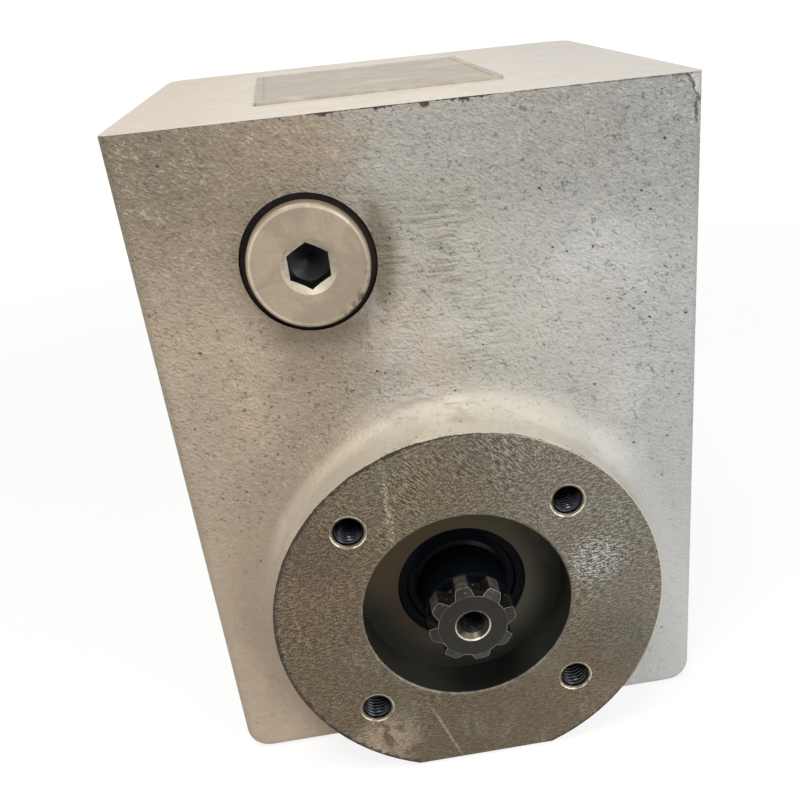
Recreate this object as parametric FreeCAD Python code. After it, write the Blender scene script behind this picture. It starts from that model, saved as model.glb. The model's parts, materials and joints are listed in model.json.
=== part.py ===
import FreeCAD, Part
import math
import os

V = FreeCAD.Vector
X = V(1, 0, 0)
Y = V(0, 1, 0)
Z = V(0, 0, 1)

# All lengths are millimetres. The origin is the centre of the motor pilot in the
# flange face. +Y runs into the housing along the worm, +X along the output shaft.

# Worm and wheel
module = 2.5
worm_starts = 2
worm_quotient = 12.0
wheel_teeth = 38
pressure_angle = 20.0
addendum_factor = 1.0
dedendum_factor = 1.25
flank_play = 0.2
worm_thread_length = 48.0
worm_thread_bevel = 5.8
worm_relief_length = 4.5
worm_cone_length = 6.0
worm_relief_step = 0.4
wheel_width = 26.0
wheel_rim_metal = 7.4
lock_pin_count = 4
lock_pin_first_angle = 45.0
lock_pin_diameter = 5.0
lock_pin_length = 14.0

# Splined shaft end with an involute profile
spline_module = 2.5
spline_teeth = 8
spline_pressure_angle = 20.0
spline_reference_diameter = 25.0
spline_tip_diameter = 24.5
spline_root_diameter = 19.5
spline_length = 7.4
spline_bevel_length = 1.1
spline_shift_factor = 0.4
spline_first_angle = 13.5
shaft_end_proud = 8.7
centre_thread_core = 6.7
centre_thread_depth = 22.0
centre_thread_mouth = 10.0
centre_mouth_angle = 45.0

# Motor flange, a boss cast on the housing front and then bored
flange_radius = 56.0
flange_shift_x = 1.0
flange_shift_z = -2.0
flange_length = 19.5
flange_blend = 10.0
flange_foot_rise = 1.0
pilot_diameter = 60.0
pilot_depth = 13.2
pilot_edge = 0.5
bolt_circle = 85.0
bolt_count = 4
bolt_first_angle = 45.0
bolt_core = 8.5
bolt_depth = 22.0
bolt_mouth = 10.1
bolt_mouth_angle = 60.0

# Housing
axis_height = 55.0
wall = 10.0
top_margin = 6.5
end_margin = 12.0
bottom_corner = 7.0
front_corner = 3.0
rear_corner = 8.0
inner_corner = 5.0
bearing_boss_metal = 6.0
base_bolt_spread_x = 110.0
base_bolt_spread_y = 112.0
base_bolt_core = 8.5
base_bolt_depth = 16.0
base_bolt_mouth = 10.1
base_boss_radius = 10.0
base_boss_height = 10.0

# Ball bearings of the worm shaft and of the output shaft
worm_bearing_bore = 25.0
worm_bearing_outer = 52.0
worm_bearing_width = 15.0
worm_ball = 7.9
worm_ball_count = 9
output_bearing_bore = 45.0
output_bearing_outer = 75.0
output_bearing_width = 16.0
output_ball = 8.7
output_ball_count = 12
race_depth = 0.28
race_conformity = 1.04
ball_play = 0.05
cage_metal = 2.6
cage_side = 1.6
pocket_play = 0.15
seat_gap = 0.02

# Shaft seals
input_seal_outer = 38.0
input_seal_width = 7.0
input_seal_recess = 1.0
output_seal_outer = 65.0
output_seal_width = 8.0
output_seal_recess = 0.5
seal_case = 1.8
seal_front_rim = 2.9
seal_edge = 0.3
seal_front_step = 0.9
seal_web = 1.6
seal_lip = 1.1
seal_lip_reach = 2.4
seal_lip_place = 2.0
seal_lip_slope = 0.6
seal_dust_lip = 1.4
seal_lip_play = 0.05
garter_wire = 1.2
web = 2.5

# Worm shaft and its rear cover
worm_shoulder = 31.0
journal_edge = 0.6
worm_tail_length = 3.5
retaining_ring_width = 1.2
retaining_ring_depth = 0.6
retaining_ring_reach = 2.6
retaining_ring_gap = 6.0
rear_cover_radius = 42.0
rear_cover_thickness = 6.0
rear_cover_spigot = 4.0
rear_cover_edge = 1.5
rear_screw_circle = 72.0
rear_screw_count = 4
rear_screw_first_angle = 45.0
shim_thickness = 0.5
gasket_thickness = 0.5

# Hollow output shaft, wheel hub and side covers
output_bore = 30.0
output_keyway_width = 8.0
output_keyway_depth = 3.3
wheel_seat = 50.0
hub_length = 40.0
hub_radius = 32.0
hub_step = 3.0
spacer_length = 25.9
spacer_metal = 3.5
key_width = 14.0
key_height = 9.0
key_length = 34.0
key_in_shaft = 5.5
key_play = 0.1
bore_edge = 1.0
wheel_entry_play = 1.0
cover_ring = 12.0
cover_thickness = 6.0
cover_edge = 1.0
cover_boss_height = 10.0
side_screw_count = 6
side_screw_first_angle = 30.0
loose_fit = 0.15

# Fasteners
screw_edge = 0.5
screw_point = 1.0
cap_screw_diameter = 6.0
cap_screw_head = 10.0
cap_screw_socket = 5.0
cap_screw_length = 14.0
flat_screw_diameter = 5.0
flat_screw_head = 9.6
flat_screw_socket = 3.0
flat_screw_length = 14.0
thread_gap = 0.05
drill_margin = 2.0
drill_point_angle = 30.0
plain_mouth_angle = 45.0
socket_bevel_angle = 40.0

# Oil plugs: the filler in the front and two smaller ones in the rear
filler_x = -29.3
filler_z = 97.4
filler_turn = 3.8
filler_head_height = 4.8
filler_head_edge = 0.9
filler_shank = 26.0
filler_collar = 2.5
filler_shank_length = 13.0
filler_socket = 10.3
filler_socket_depth = 7.0
filler_socket_mouth = 14.0
filler_seat_margin = 1.8
filler_seat_depth = 3.0
filler_ring_thickness = 1.8
filler_boss_metal = 0.7
filler_boss_height = 4.0
rear_plug_x = 48.0
drain_plug_z = -32.0
level_plug_z = 40.0
rear_plug_head_height = 4.0
rear_plug_head_edge = 0.6
rear_plug_shank = 16.0
rear_plug_collar = 2.0
rear_plug_shank_length = 9.0
rear_plug_socket = 8.0
rear_plug_socket_depth = 5.5
rear_plug_socket_mouth = 10.4
rear_plug_washer_thickness = 1.5
rear_plug_washer_reach = 0.8

# Data plate on the top, left blank
plate_x = -5.7
plate_setback = 31.8
plate_width = 67.0
plate_length = 83.0
plate_turn = 1.8
plate_thickness = 0.8
plate_corner = 1.5

# Sizes that follow from those above
worm_pitch_radius = module * worm_quotient / 2
worm_tip_radius = worm_pitch_radius + addendum_factor * module
worm_root_radius = worm_pitch_radius - dedendum_factor * module
worm_lead = math.pi * module * worm_starts
wheel_pitch_radius = module * wheel_teeth / 2
wheel_tip_radius = wheel_pitch_radius + addendum_factor * module
wheel_root_radius = wheel_pitch_radius - dedendum_factor * module
wheel_bore_radius = wheel_root_radius - wheel_rim_metal
tooth_thickness = math.pi * module / 2 - flank_play
wheel_helix = math.atan(worm_starts / worm_quotient)

opening_radius = wheel_tip_radius + wheel_entry_play
cover_radius = opening_radius + cover_ring
half_width = (
    hub_length / 2
    + spacer_length
    + output_bearing_width
    + web
    + output_seal_width
    + output_seal_recess
)
front_y = flange_length
rear_y = front_y + 2 * (cover_radius + end_margin)
base_z = -axis_height
wheel_y = (front_y + rear_y) / 2
wheel_z = worm_pitch_radius + wheel_pitch_radius
top_z = wheel_z + cover_radius + top_margin
wheel_centre = V(0, wheel_y, wheel_z)
worm_centre = V(0, 0, 0)

input_seal_y = pilot_depth + input_seal_recess
front_web_y = input_seal_y + input_seal_width
front_bearing_y = front_web_y + web
front_bearing_end = front_bearing_y + worm_bearing_width
rear_cover_tip = rear_y + gasket_thickness - rear_cover_spigot
rear_bearing_end = rear_cover_tip - shim_thickness
rear_bearing_y = rear_bearing_end - worm_bearing_width
bearing_boss_radius = worm_bearing_outer / 2 + bearing_boss_metal
thread_start = wheel_y - worm_thread_length / 2
thread_end = wheel_y + worm_thread_length / 2
shaft_tail = rear_bearing_end + worm_tail_length

filler_head = filler_shank + 2 * filler_collar
filler_seat_radius = filler_head / 2 + filler_seat_margin
filler_boss_radius = filler_seat_radius + filler_boss_metal
rear_plug_head = rear_plug_shank + 2 * rear_plug_collar

output_bearing_x = hub_length / 2 + spacer_length
output_web_x = output_bearing_x + output_bearing_width
output_seal_x = output_web_x + web
output_journal = output_bearing_bore / 2
seat_depth = cover_thickness + gasket_thickness
side_screw_circle = 2 * opening_radius + cover_ring


def cylinder(radius, start, end, axis, at):
    """A cylinder about the line through at along axis, from start to end."""
    return Part.makeCylinder(radius, end - start, at + axis * start, axis)


def ring(inner, outer, start, end, axis, at):
    """A plain ring about the line through at along axis."""
    body = cylinder(outer, start, end, axis, at)
    return body.cut(cylinder(inner, start - 1, end + 1, axis, at))


def turned(profile, axis, at):
    """A body of revolution; profile lists (place along the axis, radius)."""
    side = X if abs(axis.z) > 0.5 else Z
    points = [at + axis * along + side * radius for along, radius in profile]
    wire = Part.makePolygon(points + points[:1])
    return Part.Face(wire).revolve(at, axis, 360)


def aimed(shape, at, axis):
    """Moves a body drawn about +Z so that its origin is at and +Z follows axis."""
    moved = shape.copy()
    moved.Placement = FreeCAD.Placement(at, FreeCAD.Rotation(Z, axis))
    return moved


def polar(radius, angle):
    """A point of the XY plane from a radius and an angle in radians."""
    return V(radius * math.cos(angle), radius * math.sin(angle), 0)


def around(axis, at, radius, count, first=0.0):
    """Points evenly spaced on a circle about axis; angles start at +Z or +X."""
    start = X if abs(axis.z) > 0.5 else Z
    points = []
    for i in range(count):
        turn = FreeCAD.Rotation(axis, first + 360.0 * i / count)
        points.append(at + turn.multVec(start * radius))
    return points


def side_screw_places(way, at):
    """The centres of a side cover's screws, in the plane through at."""
    return around(way, at, side_screw_circle / 2, side_screw_count, side_screw_first_angle)


def rear_screw_places(y):
    """The centres of the rear cover's screws, in the plane at y."""
    return around(Y, Y * y, rear_screw_circle / 2, rear_screw_count, rear_screw_first_angle)


def hexagon(across_flats, depth):
    """A hexagonal prism about +Z with corners on the Y axis."""
    corner = across_flats / math.sqrt(3)
    points = [polar(corner, math.radians(30 + 60 * i)) for i in range(7)]
    return Part.Face(Part.makePolygon(points)).extrude(Z * depth)


def tapped_hole(core, depth, mouth, mouth_angle, at, axis):
    """The cutter for a blind tapped hole along axis; its mouth is a cone of that half angle."""
    radius = core / 2
    spread = math.tan(math.radians(mouth_angle))
    bevel = (mouth / 2 - radius) / spread
    tip = depth + radius * math.tan(math.radians(drill_point_angle))
    profile = [(-1, 0), (-1, mouth / 2 + spread), (bevel, radius), (depth, radius), (tip, 0)]
    return aimed(turned(profile, Z, V(0, 0, 0)), at, axis)


def edges_along(shape, direction, keep):
    """The straight edges parallel to direction whose centre passes the test keep."""
    found = []
    for edge in shape.Edges:
        run = edge.Vertexes[-1].Point - edge.Vertexes[0].Point
        straight = run.Length > 1e-6 and abs(abs(run.normalize().dot(direction)) - 1) < 1e-6
        if straight and keep(edge.CenterOfMass):
            found.append(edge)
    return found


def edges_in_plane(shape, y, below):
    """The edges that lie in the plane at y with their centre lower than below."""
    found = []
    for edge in shape.Edges:
        box = edge.BoundBox
        if abs(box.YMin - y) < 1e-4 and abs(box.YMax - y) < 1e-4 and edge.CenterOfMass.z < below:
            found.append(edge)
    return found


def housing_block():
    """The outside of the casting: rounded below, in front and behind, flat on top."""
    size_y = rear_y - front_y
    size_z = top_z - base_z
    block = Part.makeBox(2 * half_width, size_y, size_z, V(-half_width, front_y, base_z))
    block = block.makeFillet(bottom_corner, edges_along(block, Y, lambda c: c.z < base_z + 1))
    block = block.makeFillet(front_corner, edges_in_plane(block, front_y, top_z - 1))
    return block.makeFillet(rear_corner, edges_in_plane(block, rear_y, top_z - 1))


def flange_boss():
    """The round boss under the motor, blended into the front and flat at the base."""
    at = V(flange_shift_x, 0, flange_shift_z)
    blend_y = flange_length - flange_blend
    foot = flange_radius + flange_blend
    bow = flange_blend * math.sqrt(0.5)
    mid = V(0, blend_y + bow, foot - bow)
    corners = [V(0, 0, 0), V(0, 0, flange_radius), V(0, blend_y, flange_radius)]
    behind = flange_length + wall / 2
    rest = [V(0, flange_length, foot), V(0, behind, foot), V(0, behind, 0), V(0, 0, 0)]
    edges = [Part.makeLine(a, b) for a, b in zip(corners, corners[1:])]
    edges.append(Part.Arc(corners[-1], mid, rest[0]).toShape())
    edges += [Part.makeLine(a, b) for a, b in zip(rest, rest[1:])]
    boss = Part.Face(Part.Wire(edges)).revolve(V(0, 0, 0), Y, 360)
    boss.translate(at)
    reach = 4 * flange_radius
    foot_z = base_z + flange_foot_rise
    above = Part.makeBox(reach, reach, reach, V(-reach / 2, -reach / 2, foot_z))
    return boss.common(above)


def housing_cavity():
    """The room inside the walls."""
    size = V(2 * half_width, rear_y - front_y, top_z - base_z) - V(2 * wall, 2 * wall, 2 * wall)
    corner = V(wall - half_width, front_y + wall, base_z + wall)
    room = Part.makeBox(size.x, size.y, size.z, corner)
    return room.makeFillet(inner_corner, edges_along(room, Z, lambda c: True))


def base_bolt_places():
    """The four hole centres on the base."""
    places = []
    for sx in (-1, 1):
        for sy in (-1, 1):
            places.append(V(sx * base_bolt_spread_x / 2, wheel_y + sy * base_bolt_spread_y / 2, base_z))
    return places


def inner_bosses():
    """Thickened metal inside the walls for bearings, covers, plugs and bolts."""
    bosses = [
        cylinder(bearing_boss_radius, front_y + 1, front_bearing_end, Y, worm_centre),
        cylinder(bearing_boss_radius, rear_bearing_y, rear_y - 1, Y, worm_centre),
        aimed(
            Part.makeCylinder(filler_boss_radius, wall + filler_boss_height - 1),
            V(filler_x, front_y + 1, filler_z),
            Y,
        ),
    ]
    inner_face = half_width - wall - cover_boss_height
    for way in (X, -X):
        bosses.append(cylinder(cover_radius, inner_face, half_width - 1, way, wheel_centre))
    for place in base_bolt_places():
        bosses.append(cylinder(base_boss_radius, 1, wall + base_boss_height, Z, place))
    return bosses


def input_bores():
    """The stepped bore along the worm: pilot, seal, web and the two bearing seats."""
    pilot = pilot_diameter / 2
    mouth = [(-1, 0), (-1, pilot + pilot_edge + 1), (pilot_edge, pilot)]
    mouth += [(pilot_depth, pilot), (pilot_depth, 0)]
    passage = input_seal_outer / 2 - web
    return [
        turned(mouth, Y, worm_centre),
        cylinder(input_seal_outer / 2, 0, front_web_y, Y, worm_centre),
        cylinder(passage, 0, front_bearing_end + 1, Y, worm_centre),
        cylinder(worm_bearing_outer / 2, front_bearing_y, front_bearing_end + 1, Y, worm_centre),
        cylinder(worm_bearing_outer / 2, rear_bearing_y - 1, rear_y + 1, Y, worm_centre),
    ]


def side_bores():
    """The openings for the wheel and the recesses that the side covers sit in."""
    cutters = []
    for way in (X, -X):
        cutters.append(cylinder(opening_radius, half_width / 2, half_width + 1, way, wheel_centre))
        seat = half_width - seat_depth
        cutters.append(cylinder(cover_radius, seat, half_width + 1, way, wheel_centre))
        core = flat_screw_diameter + 2 * thread_gap
        depth = flat_screw_length - cover_thickness + drill_margin
        floor = wheel_centre + way * seat
        for place in side_screw_places(way, floor):
            cutters.append(tapped_hole(core, depth, core, plain_mouth_angle, place, -way))
    return cutters


def threaded_bores():
    """Flange, base and rear cover tapped holes, and the oil plug bores."""
    cutters = []
    for place in around(Y, worm_centre, bolt_circle / 2, bolt_count, bolt_first_angle):
        cutters.append(tapped_hole(bolt_core, bolt_depth, bolt_mouth, bolt_mouth_angle, place, Y))
    for place in base_bolt_places():
        cutters.append(
            tapped_hole(base_bolt_core, base_bolt_depth, base_bolt_mouth, bolt_mouth_angle, place, Z)
        )
    core = cap_screw_diameter + 2 * thread_gap
    depth = cap_screw_length - rear_cover_thickness
    for place in rear_screw_places(rear_y):
        cutters.append(tapped_hole(core, depth, core, plain_mouth_angle, place, -Y))
    filler = V(filler_x, front_y, filler_z)
    cutters.append(cylinder(filler_seat_radius, -1, filler_seat_depth, Y, filler))
    through = wall + filler_boss_height + 1
    cutters.append(cylinder(filler_shank / 2 + thread_gap, 0, through, Y, filler))
    for place in rear_plug_places().values():
        cutters.append(cylinder(rear_plug_shank / 2 + thread_gap, -1, wall + 1, -Y, place))
    return cutters


def rear_plug_places():
    """Centres of the two plugs in the rear face."""
    return {
        "drain_plug": V(-rear_plug_x, rear_y, drain_plug_z),
        "oil_level_plug": V(rear_plug_x, rear_y, level_plug_z),
    }


def housing():
    """The one-piece casting with all its machining."""
    shell = housing_block().fuse(flange_boss()).cut(housing_cavity())
    shell = shell.fuse(inner_bosses())
    return shell.cut(input_bores() + side_bores() + threaded_bores()).removeSplitter()


def flank_curve(points):
    """A smooth edge through a few points of a tooth flank."""
    curve = Part.BSplineCurve()
    curve.interpolate(points)
    return curve.toShape()


def arc_between(radius, start, end):
    """An arc about the origin between two angles in radians."""
    mid = (start + end) / 2
    return Part.Arc(polar(radius, start), polar(radius, mid), polar(radius, end)).toShape()


def involute_half_angle(radius, pitch_radius, thickness, angle):
    """Half of a tooth's angle at a radius, for an involute of the given pressure angle."""
    base = pitch_radius * math.cos(angle)
    there = math.acos(min(1.0, base / radius))
    inv = math.tan(angle) - angle
    return thickness / (2 * pitch_radius) + inv - (math.tan(there) - there)


def toothed_wire(teeth, root, tip, half_angle, turn=0.0, flank_from=None, points=4):
    """A closed outline of equal teeth; half_angle gives a tooth's half angle at a radius."""
    start = max(root, flank_from or root)
    radii = [start + (tip - start) * i / (points - 1) for i in range(points)]
    pitch = 2 * math.pi / teeth
    edges = []
    for i in range(teeth):
        centre = turn + i * pitch
        rising = [polar(r, centre - half_angle(r)) for r in radii]
        falling = [polar(r, centre + half_angle(r)) for r in reversed(radii)]
        foot = half_angle(start)
        if start > root + 1e-6:
            edges.append(Part.makeLine(polar(root, centre - foot), rising[0]))
        edges.append(flank_curve(rising))
        edges.append(arc_between(tip, centre - half_angle(tip), centre + half_angle(tip)))
        edges.append(flank_curve(falling))
        if start > root + 1e-6:
            edges.append(Part.makeLine(falling[-1], polar(root, centre + foot)))
        edges.append(arc_between(root, centre + foot, centre + pitch - foot))
    return Part.Wire(edges)


def worm_half_angle(radius):
    """Half of a worm thread's angle in the cross-section, from its straight axial flanks."""
    slope = math.tan(math.radians(pressure_angle))
    half = tooth_thickness / 2 - (radius - worm_pitch_radius) * slope
    return 2 * math.pi * half / worm_lead


def twisted(section, length, lead, radius):
    """A section in the XY plane swept up +Z while it turns once in each lead."""
    spine = Part.Wire(Part.makeLine(V(0, 0, 0), V(0, 0, length)))
    guide = Part.Wire(Part.makeHelix(lead, length, radius).Edges)
    sweep = Part.BRepOffsetAPI.MakePipeShell(spine)
    sweep.setAuxiliarySpine(guide, True, 0)
    sweep.add(section)
    sweep.build()
    sweep.makeSolid()
    return sweep.shape()


def worm_thread():
    """The threaded length of the worm, with a gap facing the wheel at mid-length."""
    turn = -math.pi * worm_thread_length / worm_lead
    section = toothed_wire(worm_starts, worm_root_radius, worm_tip_radius, worm_half_angle, turn)
    thread = twisted(section, worm_thread_length, worm_lead, worm_pitch_radius)
    thread = aimed(thread, V(0, thread_start, 0), Y)
    high = worm_tip_radius + loose_fit
    low = high - worm_thread_bevel
    bevelled = [
        (thread_start, 0),
        (thread_start, low),
        (thread_start + worm_thread_bevel, high),
        (thread_end - worm_thread_bevel, high),
        (thread_end, low),
        (thread_end, 0),
    ]
    return thread.common(turned(bevelled, Y, worm_centre))


def spline_half_angle(radius):
    """Half of a spline tooth's angle at a radius, with the standard profile shift."""
    angle = math.radians(spline_pressure_angle)
    pitch_diameter = spline_module * spline_teeth
    shift = (spline_reference_diameter - pitch_diameter - spline_shift_factor * spline_module) / 2
    thickness = math.pi * spline_module / 2 + 2 * shift * math.tan(angle)
    return involute_half_angle(radius, pitch_diameter / 2, thickness, angle)


def spline_end():
    """The short toothed shaft end with bevelled tooth fronts."""
    root = spline_root_diameter / 2
    tip = spline_tip_diameter / 2
    turn = math.radians(spline_first_angle) + math.pi / spline_teeth + math.pi / 2
    section = toothed_wire(spline_teeth, root, tip, spline_half_angle, turn)
    teeth = Part.Face(section).extrude(Z * spline_length)
    over = tip + 1
    run = spline_bevel_length * (over - root) / (tip - root)
    bevelled = [(0, 0), (0, root), (run, over), (spline_length, over), (spline_length, 0)]
    cone = turned(bevelled, Z, V(0, 0, 0))
    return aimed(teeth.common(cone), V(0, -shaft_end_proud, 0), Y)


def worm_shaft():
    """The worm shaft in one piece: spline, journals, shoulders, thread and tail."""
    journal = worm_bearing_bore / 2
    shoulder = worm_shoulder / 2
    relief = worm_root_radius - worm_relief_step
    groove = journal - retaining_ring_depth
    start = spline_length - shaft_end_proud
    front_cone = thread_start - worm_relief_length
    rear_cone = thread_end + worm_relief_length
    groove_start = rear_bearing_end + seat_gap
    groove_end = groove_start + retaining_ring_width + seat_gap
    profile = [
        (start - journal_edge, 0),
        (start - journal_edge, spline_root_diameter / 2 - journal_edge),
        (start, journal - journal_edge),
        (start + journal_edge, journal),
        (front_bearing_end, journal),
        (front_bearing_end, shoulder),
        (front_cone - worm_cone_length, shoulder),
        (front_cone, relief),
        (rear_cone, relief),
        (rear_cone + worm_cone_length, shoulder),
        (rear_bearing_y, shoulder),
        (rear_bearing_y, journal),
        (groove_start, journal),
        (groove_start, groove),
        (groove_end, groove),
        (groove_end, journal),
        (shaft_tail - journal_edge, journal),
        (shaft_tail, journal - journal_edge),
        (shaft_tail, 0),
    ]
    shaft = turned(profile, Y, worm_centre).fuse([worm_thread(), spline_end()])
    end = V(0, -shaft_end_proud, 0)
    thread = tapped_hole(
        centre_thread_core, centre_thread_depth, centre_thread_mouth, centre_mouth_angle, end, Y
    )
    return shaft.cut(thread)


def wheel_half_angle(radius):
    """Half of a wheel tooth's angle at a radius."""
    angle = math.radians(pressure_angle)
    return involute_half_angle(radius, wheel_pitch_radius, tooth_thickness, angle)


def wheel_rim():
    """The bronze rim with helical teeth, a tooth pointing straight down at mid-width."""
    base = wheel_pitch_radius * math.cos(math.radians(pressure_angle))
    flank_from = max(base, wheel_root_radius) + 0.01
    half = wheel_width / 2
    turn = -half * math.tan(wheel_helix) / wheel_pitch_radius
    section = toothed_wire(
        wheel_teeth, wheel_root_radius, wheel_tip_radius, wheel_half_angle, turn, flank_from
    )
    lead = 2 * math.pi * wheel_pitch_radius / math.tan(wheel_helix)
    rim = twisted(section, wheel_width, lead, wheel_pitch_radius)
    rim = aimed(rim, wheel_centre - X * half, X)
    rim = rim.cut(cylinder(wheel_bore_radius, -half - 1, half + 1, X, wheel_centre))
    return rim.cut(lock_pins(thread_gap))


def lock_pins(gap=0.0):
    """Pins driven in from one side, half in the rim and half in the hub."""
    start = wheel_width / 2 - lock_pin_length - gap
    pins = []
    for place in around(X, wheel_centre, wheel_bore_radius, lock_pin_count, lock_pin_first_angle):
        pins.append(cylinder(lock_pin_diameter / 2 + gap, start, wheel_width / 2 + gap, X, place))
    return pins


def key_blank(width, height, low):
    """A round-ended bar lying along X on top of the wheel seat, from low upwards."""
    straight = key_length - width
    at = wheel_centre + V(0, 0, low)
    bar = Part.makeBox(straight, width, height, at + V(-straight / 2, -width / 2, 0))
    for side in (-1, 1):
        bar = bar.fuse(Part.makeCylinder(width / 2, height, at + V(side * straight / 2, 0, 0), Z))
    return bar.removeSplitter()


def wheel_hub():
    """The hub that carries the rim, keyed to the hollow shaft."""
    seat = wheel_seat / 2 + seat_gap
    outer = wheel_bore_radius - seat_gap
    half = hub_length / 2
    carrier = wheel_width / 2
    profile = [
        (-half, seat),
        (-half, hub_radius),
        (-carrier - hub_step, hub_radius),
        (-carrier, outer),
        (carrier, outer),
        (carrier + hub_step, hub_radius),
        (half, hub_radius),
        (half, seat),
    ]
    hub = turned(profile, X, wheel_centre)
    top = wheel_seat / 2 - key_in_shaft + key_height + key_play
    corner = wheel_centre + V(-half - 1, -key_width / 2 - key_play, 0)
    slot = Part.makeBox(hub_length + 2, key_width + 2 * key_play, top, corner)
    return hub.cut([slot] + lock_pins(thread_gap))


def output_shaft():
    """The hollow shaft with its keyed bore and the seat for the wheel."""
    bore = output_bore / 2
    seat = wheel_seat / 2
    profile = [
        (-half_width, bore + bore_edge),
        (-half_width, output_journal - bore_edge),
        (bore_edge - half_width, output_journal),
        (-output_bearing_x, output_journal),
        (-output_bearing_x, seat),
        (output_bearing_x, seat),
        (output_bearing_x, output_journal),
        (half_width - bore_edge, output_journal),
        (half_width, output_journal - bore_edge),
        (half_width, bore + bore_edge),
        (half_width - bore_edge, bore),
        (bore_edge - half_width, bore),
    ]
    shaft = turned(profile, X, wheel_centre)
    keyway = Part.makeBox(
        2 * half_width + 2,
        output_keyway_width,
        bore + output_keyway_depth,
        wheel_centre + V(-half_width - 1, -output_keyway_width / 2, -bore - output_keyway_depth),
    )
    pocket = key_blank(key_width + key_play, key_height, seat - key_in_shaft - key_play)
    return shaft.cut([keyway, pocket])


def side_cover(way):
    """A flush side cover that carries an output bearing and its seal."""
    outer = cover_radius - loose_fit
    spigot = opening_radius - seat_gap
    bearing = output_bearing_outer / 2
    seal = output_seal_outer / 2
    passage = seal - web
    under = half_width - cover_thickness
    profile = [
        (half_width, seal),
        (half_width, outer - cover_edge),
        (half_width - cover_edge, outer),
        (under, outer),
        (under, spigot),
        (output_bearing_x, spigot),
        (output_bearing_x, bearing),
        (output_web_x, bearing),
        (output_web_x, passage),
        (output_seal_x, passage),
        (output_seal_x, seal),
    ]
    cover = turned(profile, way, wheel_centre)
    face = wheel_centre + way * half_width
    places = side_screw_places(way, face)
    return cover.cut([flat_screw_hole(place, -way) for place in places])


def side_gasket(way):
    """The thin gasket under a side cover."""
    outer = cover_radius - loose_fit
    start = half_width - seat_depth
    sheet = ring(opening_radius, outer, start, start + gasket_thickness, way, wheel_centre)
    radius = flat_screw_diameter / 2 + loose_fit
    places = side_screw_places(way, wheel_centre)
    return sheet.cut([cylinder(radius, start - 1, half_width, way, place) for place in places])


def flat_screw_hole(at, axis):
    """The countersunk clearance hole of a side cover screw."""
    head = flat_screw_head / 2
    shank = flat_screw_diameter / 2 + loose_fit
    depth = head - shank + loose_fit
    profile = [(-1, 0), (-1, head + loose_fit + 1), (depth, shank), (cover_thickness + 1, shank)]
    profile.append((cover_thickness + 1, 0))
    return aimed(turned(profile, Z, V(0, 0, 0)), at, axis)


def shank_end(radius, start, length):
    """The outline of a screw shank from start to its bevelled point."""
    return [(start, radius), (length - screw_point, radius), (length, radius - screw_point), (length, 0)]


def flat_screw(at, axis):
    """A countersunk screw with a hexagon socket, its head flush at the point at."""
    head = flat_screw_head / 2
    shank = flat_screw_diameter / 2
    rim = head - screw_edge / 2
    profile = [(0, 0), (0, rim), (screw_edge / 2, rim)]
    screw = turned(profile + shank_end(shank, head - shank, flat_screw_length), Z, V(0, 0, 0))
    return aimed(screw.cut(hexagon(flat_screw_socket, flat_screw_socket)), at, axis)


def cap_screw(at, axis):
    """A socket cap screw whose head stands on the point at."""
    head = cap_screw_head / 2
    shank = cap_screw_diameter / 2
    height = cap_screw_diameter
    profile = [(-height, 0), (-height, head - screw_edge), (screw_edge - height, head), (0, head)]
    screw = turned(profile + shank_end(shank, 0, cap_screw_length), Z, V(0, 0, 0))
    socket = hexagon(cap_screw_socket, height / 2)
    socket.translate(Z * -height)
    return aimed(screw.cut(socket), at, axis)


def rear_cover():
    """The cap behind the worm, with a short spigot in the bearing bore."""
    outer_y = rear_y + gasket_thickness + rear_cover_thickness
    spigot = worm_bearing_outer / 2 - loose_fit
    hollow = worm_bearing_outer / 2 - rear_cover_spigot - 1
    under = rear_y + gasket_thickness
    profile = [
        (outer_y, 0),
        (outer_y, rear_cover_radius - rear_cover_edge),
        (outer_y - rear_cover_edge, rear_cover_radius),
        (under, rear_cover_radius),
        (under, spigot),
        (rear_cover_tip, spigot),
        (rear_cover_tip, hollow),
        (under, hollow),
        (under, 0),
    ]
    cover = turned(profile, Y, worm_centre)
    radius = cap_screw_diameter / 2 + loose_fit
    places = rear_screw_places(0)
    return cover.cut([cylinder(radius, rear_y, outer_y + 1, Y, place) for place in places])


def rear_gasket():
    """The gasket under the rear cover."""
    inner = worm_bearing_outer / 2
    sheet = ring(inner, rear_cover_radius - 1, rear_y, rear_y + gasket_thickness, Y, worm_centre)
    radius = cap_screw_diameter / 2 + loose_fit
    places = rear_screw_places(0)
    return sheet.cut([cylinder(radius, rear_y - 1, rear_y + 1, Y, place) for place in places])


def bearing_shim():
    """The ring that sets the play of the rear bearing."""
    outer = worm_bearing_outer / 2 - loose_fit
    inner = worm_bearing_outer / 2 - rear_cover_spigot
    return ring(inner, outer, rear_bearing_end, rear_cover_tip, Y, worm_centre)


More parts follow.
